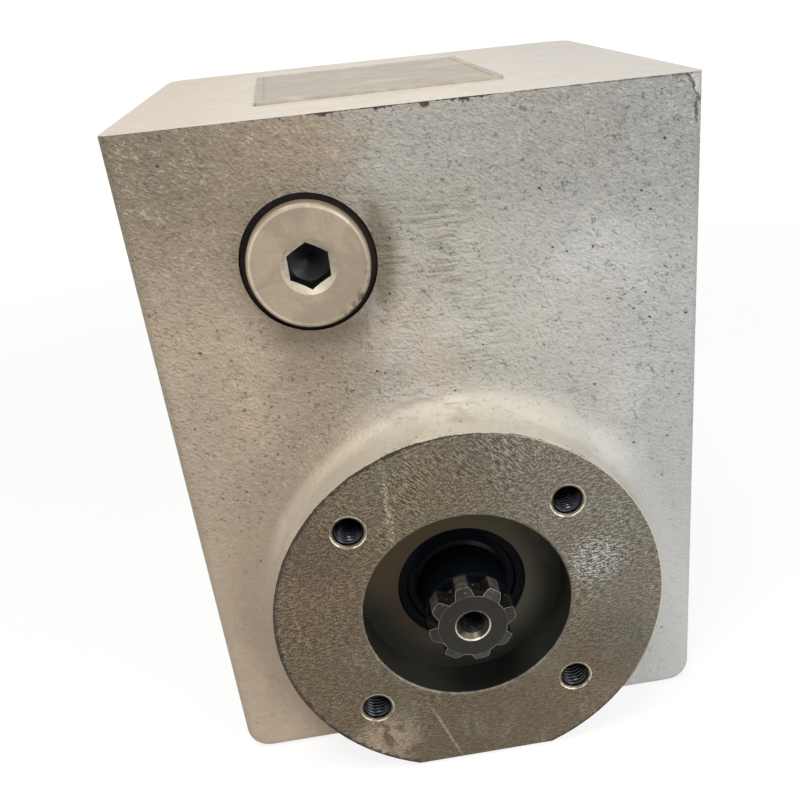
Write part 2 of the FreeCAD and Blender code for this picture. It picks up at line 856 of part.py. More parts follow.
def ball_bearing(axis, at, start, bore, outer, width, ball, count):
    """Outer ring, inner ring, balls and cage of a deep-groove ball bearing."""
    pitch = (bore + outer) / 4
    radius = ball / 2
    end = start + width
    centre = at + axis * (start + width / 2)
    land = (1 - race_depth) * radius
    groove = race_conformity * radius
    slack = groove - radius - ball_play
    inner_body = ring(bore / 2 + seat_gap, pitch - land, start, end, axis, at)
    outer_body = ring(pitch + land, outer / 2 - seat_gap, start, end, axis, at)
    inner_race = Part.makeTorus(pitch + slack, groove, centre, axis)
    outer_race = Part.makeTorus(pitch - slack, groove, centre, axis)
    cage_half = radius + cage_side
    cage = ring(pitch - cage_metal / 2, pitch + cage_metal / 2, -cage_half, cage_half, axis, centre)
    balls = []
    pockets = []
    for place in around(axis, centre, pitch, count):
        out = (place - centre).normalize()
        balls.append(Part.makeSphere(radius, place))
        foot = place - out * cage_metal
        pockets.append(Part.makeCylinder(radius + pocket_play, 2 * cage_metal, foot, out))
    return {
        "outer_ring": outer_body.cut(outer_race),
        "inner_ring": inner_body.cut(inner_race),
        "balls": Part.makeCompound(balls),
        "cage": cage.cut(pockets),
    }


def shaft_seal(axis, at, face, shaft, outer, width):
    """A rubber-covered lip seal and its garter spring; face is its outer side."""
    hole = shaft / 2 + seal_lip_play
    rim = outer / 2 - seat_gap
    waist = rim - seal_case
    front = rim - seal_front_rim
    step = seal_front_step
    lip = hole + seal_lip
    reach = hole + seal_lip_reach
    back = face - width
    contact = back + seal_lip_place
    web_back = face - step - seal_web
    profile = [
        (face - seal_edge, rim),
        (face, rim - seal_edge),
        (face, front + seal_edge),
        (face - seal_edge, front),
        (face - step, front - seal_edge),
        (face - step, lip + seal_edge),
        (face - seal_edge, hole + seal_edge),
        (face - step, hole),
        (face - seal_dust_lip - step, lip),
        (contact + seal_lip_slope, lip - seal_edge),
        (contact, hole),
        (back + seal_lip_slope, lip),
        (back + seal_lip_slope, reach),
        (contact + seal_dust_lip, reach),
        (web_back, reach + seal_lip_slope),
        (web_back, waist),
        (back, waist),
        (back, rim),
    ]
    body = turned(profile, axis, at)
    centre = at + axis * contact
    body = body.cut(Part.makeTorus(reach, garter_wire / 2 + seat_gap, centre, axis))
    spring = Part.makeTorus(reach, garter_wire / 2, centre, axis)
    return body, spring


def retaining_ring():
    """The open ring in the groove behind the rear bearing."""
    start = rear_bearing_end + 1.5 * seat_gap
    inner = worm_bearing_bore / 2 - retaining_ring_depth + seat_gap
    outer = inner + retaining_ring_reach
    band = ring(inner, outer, start, start + retaining_ring_width, Y, worm_centre)
    size = V(retaining_ring_gap, 3 * retaining_ring_width, 2 * outer)
    corner = V(-retaining_ring_gap / 2, start - retaining_ring_width, 0)
    return band.cut(Part.makeBox(size.x, size.y, size.z, corner))


def spacer(way):
    """A sleeve on the hollow shaft between the hub and a bearing."""
    inner = wheel_seat / 2 + seat_gap
    start = hub_length / 2
    return ring(inner, inner + spacer_metal, start, start + spacer_length, way, wheel_centre)


def socket_plug(head, head_height, edge, shank, shank_length, socket, socket_depth, mouth):
    """A collared screw plug with a hexagon socket; its head stands on the XY plane."""
    profile = [(-head_height, 0), (-head_height, head / 2), (0, head / 2)]
    plug = turned(profile + shank_end(shank / 2, 0, shank_length), Z, V(0, 0, 0))
    front = [e for e in plug.Edges if e.BoundBox.ZMax < seat_gap - head_height]
    rims = [e for e in front if e.BoundBox.XLength > head - edge]
    plug = plug.makeFillet(edge, rims)
    hole = hexagon(socket, socket_depth)
    drill = socket / 2
    tip = socket_depth + drill * math.tan(math.radians(drill_point_angle))
    point = [(0, 0), (0, drill), (socket_depth, drill), (tip, 0)]
    slope = math.tan(math.radians(socket_bevel_angle))
    bevel = [(0, 0), (0, mouth / 2), (mouth / 2 * slope, 0)]
    hole = hole.fuse([turned(point, Z, V(0, 0, 0)), turned(bevel, Z, V(0, 0, 0))])
    hole.translate(Z * -head_height)
    return plug.cut(hole)


def filler_plug():
    """The large plug in the front, proud of the face."""
    plug = socket_plug(
        filler_head,
        filler_head_height,
        filler_head_edge,
        filler_shank,
        filler_shank_length,
        filler_socket,
        filler_socket_depth,
        filler_socket_mouth,
    )
    plug.rotate(V(0, 0, 0), Z, filler_turn)
    seat = front_y + filler_seat_depth - filler_ring_thickness
    return aimed(plug, V(filler_x, seat, filler_z), Y)


def filler_seal():
    """The black ring under the head of the filler plug."""
    floor = front_y + filler_seat_depth
    at = V(filler_x, floor, filler_z)
    outer = filler_seat_radius - loose_fit
    return ring(filler_shank / 2 + loose_fit, outer, -filler_ring_thickness, 0, Y, at)


def rear_plug(at):
    """One of the small plugs in the rear face."""
    plug = socket_plug(
        rear_plug_head,
        rear_plug_head_height,
        rear_plug_head_edge,
        rear_plug_shank,
        rear_plug_shank_length,
        rear_plug_socket,
        rear_plug_socket_depth,
        rear_plug_socket_mouth,
    )
    return aimed(plug, at + Y * rear_plug_washer_thickness, -Y)


def rear_plug_washer(at):
    """The copper washer under a rear plug."""
    inner = rear_plug_shank / 2 + loose_fit
    outer = rear_plug_head / 2 + rear_plug_washer_reach
    return ring(inner, outer, 0, rear_plug_washer_thickness, Y, at)


def data_plate():
    """The blank plate glued to the top."""
    corner = V(plate_x - plate_width / 2, front_y + plate_setback, top_z)
    plate = Part.makeBox(plate_width, plate_length, plate_thickness, corner)
    plate = plate.makeFillet(plate_corner, edges_along(plate, Z, lambda c: True))
    plate.rotate(corner + V(plate_width / 2, plate_length / 2, 0), Z, plate_turn)
    return plate


def bearings():
    """All four bearings as a node for each ring, ball set and cage."""
    nodes = {}
    for name, start in (("front_bearing", front_bearing_y), ("rear_bearing", rear_bearing_y)):
        pieces = ball_bearing(
            Y,
            worm_centre,
            start,
            worm_bearing_bore,
            worm_bearing_outer,
            worm_bearing_width,
            worm_ball,
            worm_ball_count,
        )
        nodes.update({name + "_" + key: shape for key, shape in pieces.items()})
    for name, way in (("left_bearing", -X), ("right_bearing", X)):
        pieces = ball_bearing(
            way,
            wheel_centre,
            output_bearing_x,
            output_bearing_bore,
            output_bearing_outer,
            output_bearing_width,
            output_ball,
            output_ball_count,
        )
        nodes.update({name + "_" + key: shape for key, shape in pieces.items()})
    return nodes


def side_pieces():
    """The pieces that come once on the left and once on the right."""
    nodes = {}
    for side, way in (("left", -X), ("right", X)):
        face = wheel_centre + way * half_width
        places = side_screw_places(way, face)
        nodes[side + "_cover"] = side_cover(way)
        nodes[side + "_cover_gasket"] = side_gasket(way)
        nodes[side + "_cover_screws"] = Part.makeCompound([flat_screw(p, -way) for p in places])
        nodes[side + "_spacer_sleeve"] = spacer(way)
        seal_face = half_width - output_seal_recess
        seal, spring = shaft_seal(
            way, wheel_centre, seal_face, output_bearing_bore, output_seal_outer, output_seal_width
        )
        nodes[side + "_output_seal"] = seal
        nodes[side + "_output_seal_spring"] = spring
    return nodes


def worm_pieces():
    """The worm shaft and what closes and seals its ends."""
    seal, spring = shaft_seal(
        -Y, worm_centre, -input_seal_y, worm_bearing_bore, input_seal_outer, input_seal_width
    )
    head_seat = rear_y + gasket_thickness + rear_cover_thickness
    places = rear_screw_places(head_seat)
    return {
        "worm_shaft": worm_shaft(),
        "worm_retaining_ring": retaining_ring(),
        "input_seal": seal,
        "input_seal_spring": spring,
        "rear_cover": rear_cover(),
        "rear_cover_gasket": rear_gasket(),
        "rear_cover_screws": Part.makeCompound([cap_screw(p, -Y) for p in places]),
        "rear_bearing_shim": bearing_shim(),
    }


def wheel_pieces():
    """The wheel on its hollow shaft."""
    seat = wheel_seat / 2 - key_in_shaft
    return {
        "output_shaft": output_shaft(),
        "worm_wheel_rim": wheel_rim(),
        "worm_wheel_hub": wheel_hub(),
        "wheel_key": key_blank(key_width, key_height, seat),
        "rim_lock_pins": Part.makeCompound(lock_pins()),
    }


def plug_pieces():
    """The oil plugs with their seals."""
    nodes = {"oil_filler_plug": filler_plug(), "oil_filler_seal": filler_seal()}
    for name, place in rear_plug_places().items():
        nodes[name] = rear_plug(place)
        nodes[name + "_washer"] = rear_plug_washer(place)
    return nodes


def main():
    nodes = {"housing": housing(), "data_plate": data_plate()}
    nodes.update(worm_pieces())
    nodes.update(wheel_pieces())
    nodes.update(side_pieces())
    nodes.update(bearings())
    nodes.update(plug_pieces())
    os.makedirs("parts", exist_ok=True)
    for name, shape in nodes.items():
        shape.exportStep("parts/" + name + ".step")
        print(name, shape.isValid(), len(shape.Solids), round(shape.Volume))


main()
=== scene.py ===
"""Finishes, screw threads and blank plate of the motor gearbox, with its stage."""

import json
import math

import bmesh
import bpy
import numpy
from bpy.props import FloatProperty, FloatVectorProperty, PointerProperty
from mathutils import Euler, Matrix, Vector


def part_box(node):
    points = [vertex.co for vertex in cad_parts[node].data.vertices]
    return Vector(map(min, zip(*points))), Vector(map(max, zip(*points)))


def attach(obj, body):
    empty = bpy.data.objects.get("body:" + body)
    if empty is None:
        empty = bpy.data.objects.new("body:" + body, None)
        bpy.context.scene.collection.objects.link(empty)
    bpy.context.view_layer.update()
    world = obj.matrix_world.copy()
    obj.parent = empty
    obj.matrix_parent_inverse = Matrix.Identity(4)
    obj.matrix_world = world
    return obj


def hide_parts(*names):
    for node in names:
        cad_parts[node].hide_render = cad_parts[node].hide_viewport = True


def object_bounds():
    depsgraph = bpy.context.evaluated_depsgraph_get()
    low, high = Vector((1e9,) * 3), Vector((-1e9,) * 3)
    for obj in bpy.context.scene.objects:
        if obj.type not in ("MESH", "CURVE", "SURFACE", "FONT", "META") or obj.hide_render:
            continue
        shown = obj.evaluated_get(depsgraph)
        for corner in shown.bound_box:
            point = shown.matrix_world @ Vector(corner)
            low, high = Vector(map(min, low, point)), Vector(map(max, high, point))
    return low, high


bl_info = {
    "name": "Motor gearbox finish",
    "version": (1, 0, 0),
    "blender": (4, 5, 0),
    "location": "3D View > Sidebar > Gearbox",
    "description": "Paint, metal, threads and plate of the motor gearbox",
    "category": "Object",
}

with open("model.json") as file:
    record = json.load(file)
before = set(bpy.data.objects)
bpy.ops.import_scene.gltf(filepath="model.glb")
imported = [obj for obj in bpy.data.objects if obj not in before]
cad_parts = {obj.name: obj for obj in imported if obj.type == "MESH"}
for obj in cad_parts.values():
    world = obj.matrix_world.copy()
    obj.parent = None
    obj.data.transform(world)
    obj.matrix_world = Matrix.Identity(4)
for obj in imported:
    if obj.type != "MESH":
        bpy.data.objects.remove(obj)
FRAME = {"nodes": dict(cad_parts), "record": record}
CAD_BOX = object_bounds()
NODES = FRAME["nodes"]
MOUNTS = {mount["name"]: mount for mount in FRAME["record"]["mounts"]}
MM = 0.001
FLOAT = "NodeSocketFloat"
VECTOR = "NodeSocketVector"

# Measures of the CAD in millimetres that its frame doesn't name. The flange's
# face lies at y = 0, and the worm shaft turns about x = z = 0.
BOSS_AXIS = (1.0, -2.0)
FLANGE_RADIUS = 56.0
BOSS_RADIUS = 57.5
TOP_EDGE_SINK = 0.8
REAR_BORE_RADIUS = 26.0
COVER_SEAT_RADIUS = 63.1
COVER_RADIUS = 62.85
PLUG_SEAT_RADIUS = 17.4
PLUG_SOCKET_RADIUS = 7.05
SPLINE_ROOT_RADIUS = 9.75
SPLINE_TIP_START = 12.0
SPLINE_LENGTH = 7.4
CENTRE_HOLE_RADII = (3.5, 5.0)
CENTRE_HOLE_CONE = 1.7
COUNTERSINK = 0.95
WALL = 9.0

# How a face is found: FACING is the least part of its normal along an axis, NEAR
# how close to a level or a radius it may lie, and SKIN how far inside it starts.
FACING = 0.9
NEAR = 0.05
SKIN = 0.01

# Screw threads, in metres: the gap between a root and its hole, and the height of
# a ridge in the shaft's end.
THREAD_GAP = 0.00002
CENTRE_RIDGE = 0.0005


def srgb(red, green, blue):
    """A display colour of 0 to 255 as the linear colour that shaders use."""
    channels = [value / 255 for value in (red, green, blue)]
    return tuple(v / 12.92 if v <= 0.04045 else ((v + 0.055) / 1.055) ** 2.4 for v in channels)


def darker(tone, factor):
    """A linear colour times a factor."""
    return tuple(value * factor for value in tone)


def length(label, text, value):
    """A length property in metres."""
    return FloatProperty(name=label, description=text, default=value, min=0.0, unit="LENGTH")


def colour(label, text, *display):
    """A colour property from display values."""
    return FloatVectorProperty(
        name=label,
        description=text,
        default=srgb(*display),
        size=3,
        min=0.0,
        max=1.0,
        subtype="COLOR",
    )


class GearboxSizes(bpy.types.PropertyGroup):
    """Sizes of the details that are made here."""

    thread_pitch: length("Thread pitch", "Pitch of the flange and base holes", 0.0015)
    thread_height: length("Thread height", "Height of a thread ridge in its hole", 0.0008)
    centre_pitch: length("Centre thread pitch", "Pitch in the shaft's end", 0.00125)
    paint_relief: length("Paint relief", "Height of the lumps in the cast paint", 0.00022)
    chip_reach: length("Chip reach", "How far paint chips reach from an edge", 0.0016)
    plate_border: length("Plate border", "Width of the raised plate border", 0.0022)
    plate_groove: length("Plate groove", "Depth of the line round the plate", 0.0003)
    plate_turn: FloatProperty(
        name="Plate turn",
        description="How far the plate is turned against the housing",
        default=math.radians(1.8),
        subtype="ANGLE",
    )
    lamp_height: length("Lamp height", "Height of the overhead lamp", 1.0)


class GearboxColours(bpy.types.PropertyGroup):
    """Colours of the finishes."""

    # The warm and cool paints also carry painted light: the warm light on the left of the front and the cool
    # light on its right
    warm_paint_and_light: colour("Warm paint", "Front paint on the left", 192, 172, 150)
    paint_mid: colour("Middle paint", "Front paint in the middle", 205, 200, 190)
    cool_paint_and_light: colour("Cool paint", "Front paint on the right", 191, 191, 189)
    paint_top: colour("Top paint", "Smooth paint on the top face", 214, 204, 187)
    # A painted highlight on the blend round the flange
    halo_highlight: colour("Clean paint", "Wiped paint round the flange", 217, 210, 192)
    # Pale paint that also gives the painted highlights on crests and edges
    pale_paint_and_highlight: colour("Paint flake", "Fresh edge of broken paint", 224, 216, 194)
    chip: colour("Chip", "Bare casting under chipped paint", 50, 43, 36)
    grime: colour("Grime", "Oily dirt on the paint", 96, 86, 66)
    bare_iron: colour("Bare iron", "Machined flange face", 112, 101, 83)
    iron_green: colour("Green iron", "Older parts of the flange face", 108, 102, 85)
    iron_pink: colour("Pink iron", "Rubbed parts of the flange face", 123, 102, 83)
    iron_grey: colour("Grey iron", "Flange face towards the upper right", 120, 118, 110)
    iron_stain: colour("Iron stain", "Brown stain on bare iron", 88, 70, 50)
    bore_brown: colour("Brown bore", "Left half of the seal recess", 77, 64, 47)
    bore_olive: colour("Olive bore", "Right half of the seal recess", 76, 72, 58)
    # Oil together with painted shade at the bottom of the recess
    oil_and_painted_shade: colour("Old oil", "Oil at the bottom of the recess", 44, 45, 42)
    shaft_face: colour("Shaft face", "End face of the shaft", 45, 42, 37)
    # Wear and painted glints and highlights on the shaft
    shaft_glint_and_wear: colour("Shaft light", "Worn edges of the shaft", 150, 144, 136)
    shaft_dark: colour("Shaft dark", "Oiled steel of the shaft", 26, 24, 23)
    rubber: colour("Rubber", "Seals", 7, 10, 14)
    plug: colour("Plug", "Plated oil plugs", 170, 154, 132)
    # Pale plug colour, also used for painted highlights on the plug's crease and the shaft's thread mouth
    plug_pale_and_highlight: colour("Plug rim", "Bright bevel of an oil plug", 226, 216, 194)
    plate: colour("Plate", "Blank data plate", 186, 176, 158)


def colours():
    return bpy.context.scene.gearbox_colours


def sizes():
    return bpy.context.scene.gearbox_sizes


def in_mm(point):
    return [value / MM for value in point]


def box_middle(name):
    """The centre of a CAD node's box, in metres."""
    low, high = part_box(name)
    return (low + high) / 2


class Value:
    """One output of a node, with the sums that a recipe needs."""

    def __init__(self, tree, socket):
        self.tree = tree
        self.socket = socket

    def __add__(self, other):
        return self.tree.math("ADD", self, other)

    def __sub__(self, other):
        return self.tree.math("SUBTRACT", self, other)

    def __rsub__(self, other):
        return self.tree.math("SUBTRACT", other, self)

    def __mul__(self, other):
        return self.tree.math("MULTIPLY", self, other)

    def __rtruediv__(self, other):
        return self.tree.math("DIVIDE", other, self)

    def __gt__(self, other):
        return self.tree.math("GREATER_THAN", self, other)

    def __lt__(self, other):
        return self.tree.math("LESS_THAN", self, other)

    def __abs__(self):
        return self.tree.math("ABSOLUTE", self)

    def larger(self, other):
        return self.tree.math("MAXIMUM", self, other)

    def smaller(self, other):
        return self.tree.math("MINIMUM", self, other)

    def ramp(self, low, high, start=0.0, end=1.0):
        """Maps low to start and high to end with soft ends."""
        feeds = {"Value": self, "From Min": low, "From Max": high, "To Min": start, "To Max": end}
        return self.tree.add("MapRange", "Result", feeds, interpolation_type="SMOOTHSTEP")

    def reach(self, other, at):
        """The distance from the point at, in the plane of this value and another."""
        across = self - at[0]
        up = other - at[1]
        return self.tree.math("SQRT", across * across + up * up)

    def split(self):
        """The three parts of a vector."""
        node = self.tree.node("SeparateXYZ", {0: self})
        return [Value(self.tree, socket) for socket in node.outputs]

    def scaled(self, factor):
        feeds = {"Vector": self, "Scale": factor}
        return self.tree.add("VectorMath", "Vector", feeds, operation="SCALE")

    def stretched(self, x, y, z):
        """A vector with its axes scaled apart."""
        return self.tree.add("VectorMath", "Vector", {0: self, 1: (x, y, z)}, operation="MULTIPLY")

    def noise(self, scale, detail=2.0, roughness=0.5, distortion=0.0):
        feeds = {
            "Vector": self,
            "Scale": scale,
            "Detail": detail,
            "Roughness": roughness,
            "Distortion": distortion,
        }
        return self.tree.add("TexNoise", "Fac", feeds)

    def cells(self, scale=1.0):
        """Distance to the nearest of many scattered points, and that point's colour."""
        node = self.tree.node("TexVoronoi", {"Vector": self, "Scale": scale})
        return [Value(self.tree, node.outputs[name]) for name in ("Distance", "Color")]


class Tree:
    """Adds nodes to one node tree and links them."""

    def __init__(self, tree):
        self.tree = tree

    def feed(self, socket, value):
        """Links a socket, or sets its value."""
        if isinstance(value, Value):
            self.tree.links.new(value.socket, socket)
        elif socket.type == "RGBA" and len(value) == 3:
            socket.default_value = (*value, 1.0)
        else:
            socket.default_value = value

    def node(self, kind, feeds=None, **settings):
        """A node with its settings made and its inputs fed."""
        node = self.tree.nodes.new("ShaderNode" + kind)
        for name, value in settings.items():
            setattr(node, name, value)
        for key, value in (feeds or {}).items():
            self.feed(node.inputs[key], value)
        return node

    def add(self, kind, output, feeds=None, **settings):
        """One output of a new node."""
        return Value(self, self.node(kind, feeds, **settings).outputs[output])

    def math(self, operation, *values):
        return self.add("Math", 0, dict(enumerate(values)), operation=operation)

    def vector(self, x, y, z):
        return self.add("CombineXYZ", 0, {0: x, 1: y, 2: z})

    def mix(self, share, low, high, blend="MIX"):
        """Mixes two colours."""
        return self.add("Mix", 2, {0: share, 6: low, 7: high}, data_type="RGBA", blend_type=blend)

    def shade(self, tone, factor):
        """A colour times a number."""
        return self.mix(1.0, tone, (factor, factor, factor), "MULTIPLY")


class Material(Tree):
    """A material with one Principled shader, whose colour is laid on in coats."""

    def __init__(self, name, **values):
        self.made = bpy.data.materials.new(name)
        self.made.use_nodes = True
        self.made.node_tree.nodes.clear()
        super().__init__(self.made.node_tree)
        shader = self.node("BsdfPrincipled")
        self.node("OutputMaterial", {"Surface": Value(self, shader.outputs["BSDF"])})
        self.inputs = shader.inputs
        for label, value in values.items():
            self.feed(self.inputs[label.replace("_", " ")], value)
        # The place on the piece, in millimetres of the part's frame
        self.place = self.add("TexCoord", "Object").scaled(1 / MM)
        self.tone = None

    def turned(self, axis):
        """The place as a lathe sees it; axis is a letter and a centre, or None for no lathe."""
        if axis is None:
            return self.place
        parts = self.place.split()
        along = "XYZ".index(axis[0])
        first, second = [i for i in range(3) if i != along]
        centre = in_mm(axis[1])
        radius = parts[first].reach(parts[second], (centre[first], centre[second]))
        return self.vector(radius, parts[along], 0.0)

    def coat(self, share, tone):
        """Lays a colour over the colour so far."""
        self.tone = self.mix(share, self.tone, tone)

    def dim(self, share, factor):
        """Multiplies the colour so far by a factor."""
        self.coat(share, self.shade(self.tone, factor))

    def finish(self, rough, height=None, metallic=None):
        """Feeds the shader; height is a relief in millimetres."""
        self.feed(self.inputs["Base Color"], self.tone)
        self.feed(self.inputs["Roughness"], rough)
        if metallic is not None:
            self.feed(self.inputs["Metallic"], metallic)
        if height is not None:
            feeds = {"Height": height, "Distance": MM, "Strength": 1.0}
            self.feed(self.inputs["Normal"], self.add("Bump", "Normal", feeds))
        return self.made


def effect_group(name, inputs, outputs):
    """Turns a recipe into an effect: a node group that is made once and used with its own values."""

    def make(recipe):
        group = bpy.data.node_groups.new(name, "ShaderNodeTree")
        for label, kind in inputs.items():
            group.interface.new_socket(label, in_out="INPUT", socket_type=kind)
        for label in outputs:
            group.interface.new_socket(label, in_out="OUTPUT", socket_type=FLOAT)
        tree = Tree(group)
        start = group.nodes.new("NodeGroupInput")
        end = group.nodes.new("NodeGroupOutput")
        given = [Value(tree, start.outputs[label]) for label in inputs]
        for label, value in zip(outputs, recipe(*given)):
            tree.feed(end.inputs[label], value)
        return group

    def wrap(recipe):
        def effect(*values):
            tree = values[0].tree
            group = bpy.data.node_groups.get(name) or make(recipe)
            node = tree.node("Group", node_tree=group)
            for label, value in zip(inputs, values):
                tree.feed(node.inputs[label], value)
            results = [Value(tree, node.outputs[label]) for label in outputs]
            return results if len(results) > 1 else results[0]

        return effect

    return wrap


@effect_group("Cast lumps", {"Place": VECTOR, "Lump size": FLOAT}, ("Height", "Cracks", "Pits"))
def cast_lumps(place, lump_size):
    """Slanting lumps of a sand casting with dark cracks and few round pits."""
    x, y, z = place.split()
    along = x * 0.86 - z * 0.51
    over = x * 0.51 + z * 0.86
    spot = place.tree.vector(along * 0.8, y * 0.9, over).scaled(1.0 / lump_size)
    broad = spot.noise(0.5, 3.0, 0.62)
    fine = spot.noise(1.6, 2.0, 0.62)
    parted = spot.noise(0.22, 2.0, 0.6).ramp(0.4, 0.62, 0.3, 1.0)
    cracks = spot.noise(0.95, 3.0, 0.72, 0.4).ramp(0.43, 0.32) * parted
    height = broad * 0.55 + fine * 0.85 + cracks * -0.16
    away, tint = spot.cells(0.3)
    chosen = tint.split()[0] > 0.72
    pit = (away + fine * 0.16).ramp(0.13, 0.19, 1.0, 0.0)
    return height, cracks, pit * chosen


@effect_group("Grime clouds", {"Place": VECTOR, "Cloud size": FLOAT, "Cover": FLOAT}, ("Mask",))
def grime_clouds(place, cloud_size, cover):
    """Clouds of dirt that cover a share of the surface."""
    cloud = place.scaled(1.0 / cloud_size).noise(1.0, 6.0, 0.62, 0.3)
    edge = 0.85 - cover * 0.6
    return (cloud.ramp(edge - 0.14, edge),)


@effect_group("Worn edge", {"Place": VECTOR, "Distance": FLOAT, "Reach": FLOAT}, ("Mask",))
def worn_edge(place, distance, reach):
    """Ragged chips along an edge; distance is how far the edge is, reach how far chips go."""
    broad = place.noise(0.09, 2.0, 0.5).ramp(0.4, 0.64, 0.1, 1.0)
    ragged = place.noise(0.75, 4.0, 0.7).ramp(0.3, 0.75)
    rest = reach * broad * ragged - distance
    return (rest.ramp(-0.03, 0.07),)


@effect_group("Specks", {"Place": VECTOR, "Spacing": FLOAT, "Size": FLOAT, "Share": FLOAT}, ("Mask",))
def specks(place, spacing, size, share):
    """Scattered specks with ruffled outlines; share is how many of the places hold one."""
    spot = place.scaled(1.0 / spacing)
    ruffled = place.noise(2.0, 2.0, 0.6)
    away, tint = spot.cells()
    chance, part = tint.split()[:2]
    radius = size * part * ruffled.ramp(0.3, 0.7, 0.5, 1.5)
    gap = radius - away * spacing
    return (gap.ramp(-0.04, 0.08) * (chance < share),)


@effect_group("Tool marks", {"Across": VECTOR, "Fineness": FLOAT}, ("Height", "Tone"))
def tool_marks(across, fineness):
    """Fine lines of a tool over broader bands."""
    spot = across.scaled(fineness)
    lines = spot.noise(1.0, 3.0, 0.65)
    broad = spot.scaled(0.21).noise(1.0, 2.0, 0.5)
    return lines, (lines + broad).ramp(0.7, 1.3)


def front_level():
    """How far back the front face of the housing lies, in millimetres."""
    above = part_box("oil_filler_plug")[0].z
    faces = NODES["housing"].data.polygons
    return min(face.center.y for face in faces if face.normal.y < -0.999 and face.center.z > above) / MM


def half_width():
    """Half the width of the housing, in millimetres."""
    low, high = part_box("housing")
    return (high.x - low.x) / 2 / MM


def plate_frame():
    """The data plate's centre, width and length in millimetres; its box is larger by its turn."""
    low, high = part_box("data_plate")
    wide, long = (high.x - low.x) / MM, (high.y - low.y) / MM
    turned, straight = math.sin(sizes().plate_turn), math.cos(sizes().plate_turn)
    spread = straight**2 - turned**2
    width = (wide * straight - long * turned) / spread
    depth = (long * straight - wide * turned) / spread
    return in_mm((low + high) / 2), width, depth


def top_edge_wear(place, x, edge, line, shares, fade):
    """Chips in the middle of the front's upper edge, and a line broken along it.

    shares is how much of the chips' reach counts in the middle and everywhere, and
    fade is the line's strength at the right.
    """
    middle = x.ramp(-25.0, -21.0) * x.ramp(25.0, 19.0)
    reach = (middle * shares[0] + shares[1]) * (sizes().chip_reach / MM)
    chips = worn_edge(place, edge, reach)
    broken = place.noise(0.5, 3.0, 0.7).ramp(0.52, 0.44, 0.4, 1.0)
    shown = middle.larger(x.ramp(18.0, 30.0, 0.0, fade))
    return chips, line * shown * broken


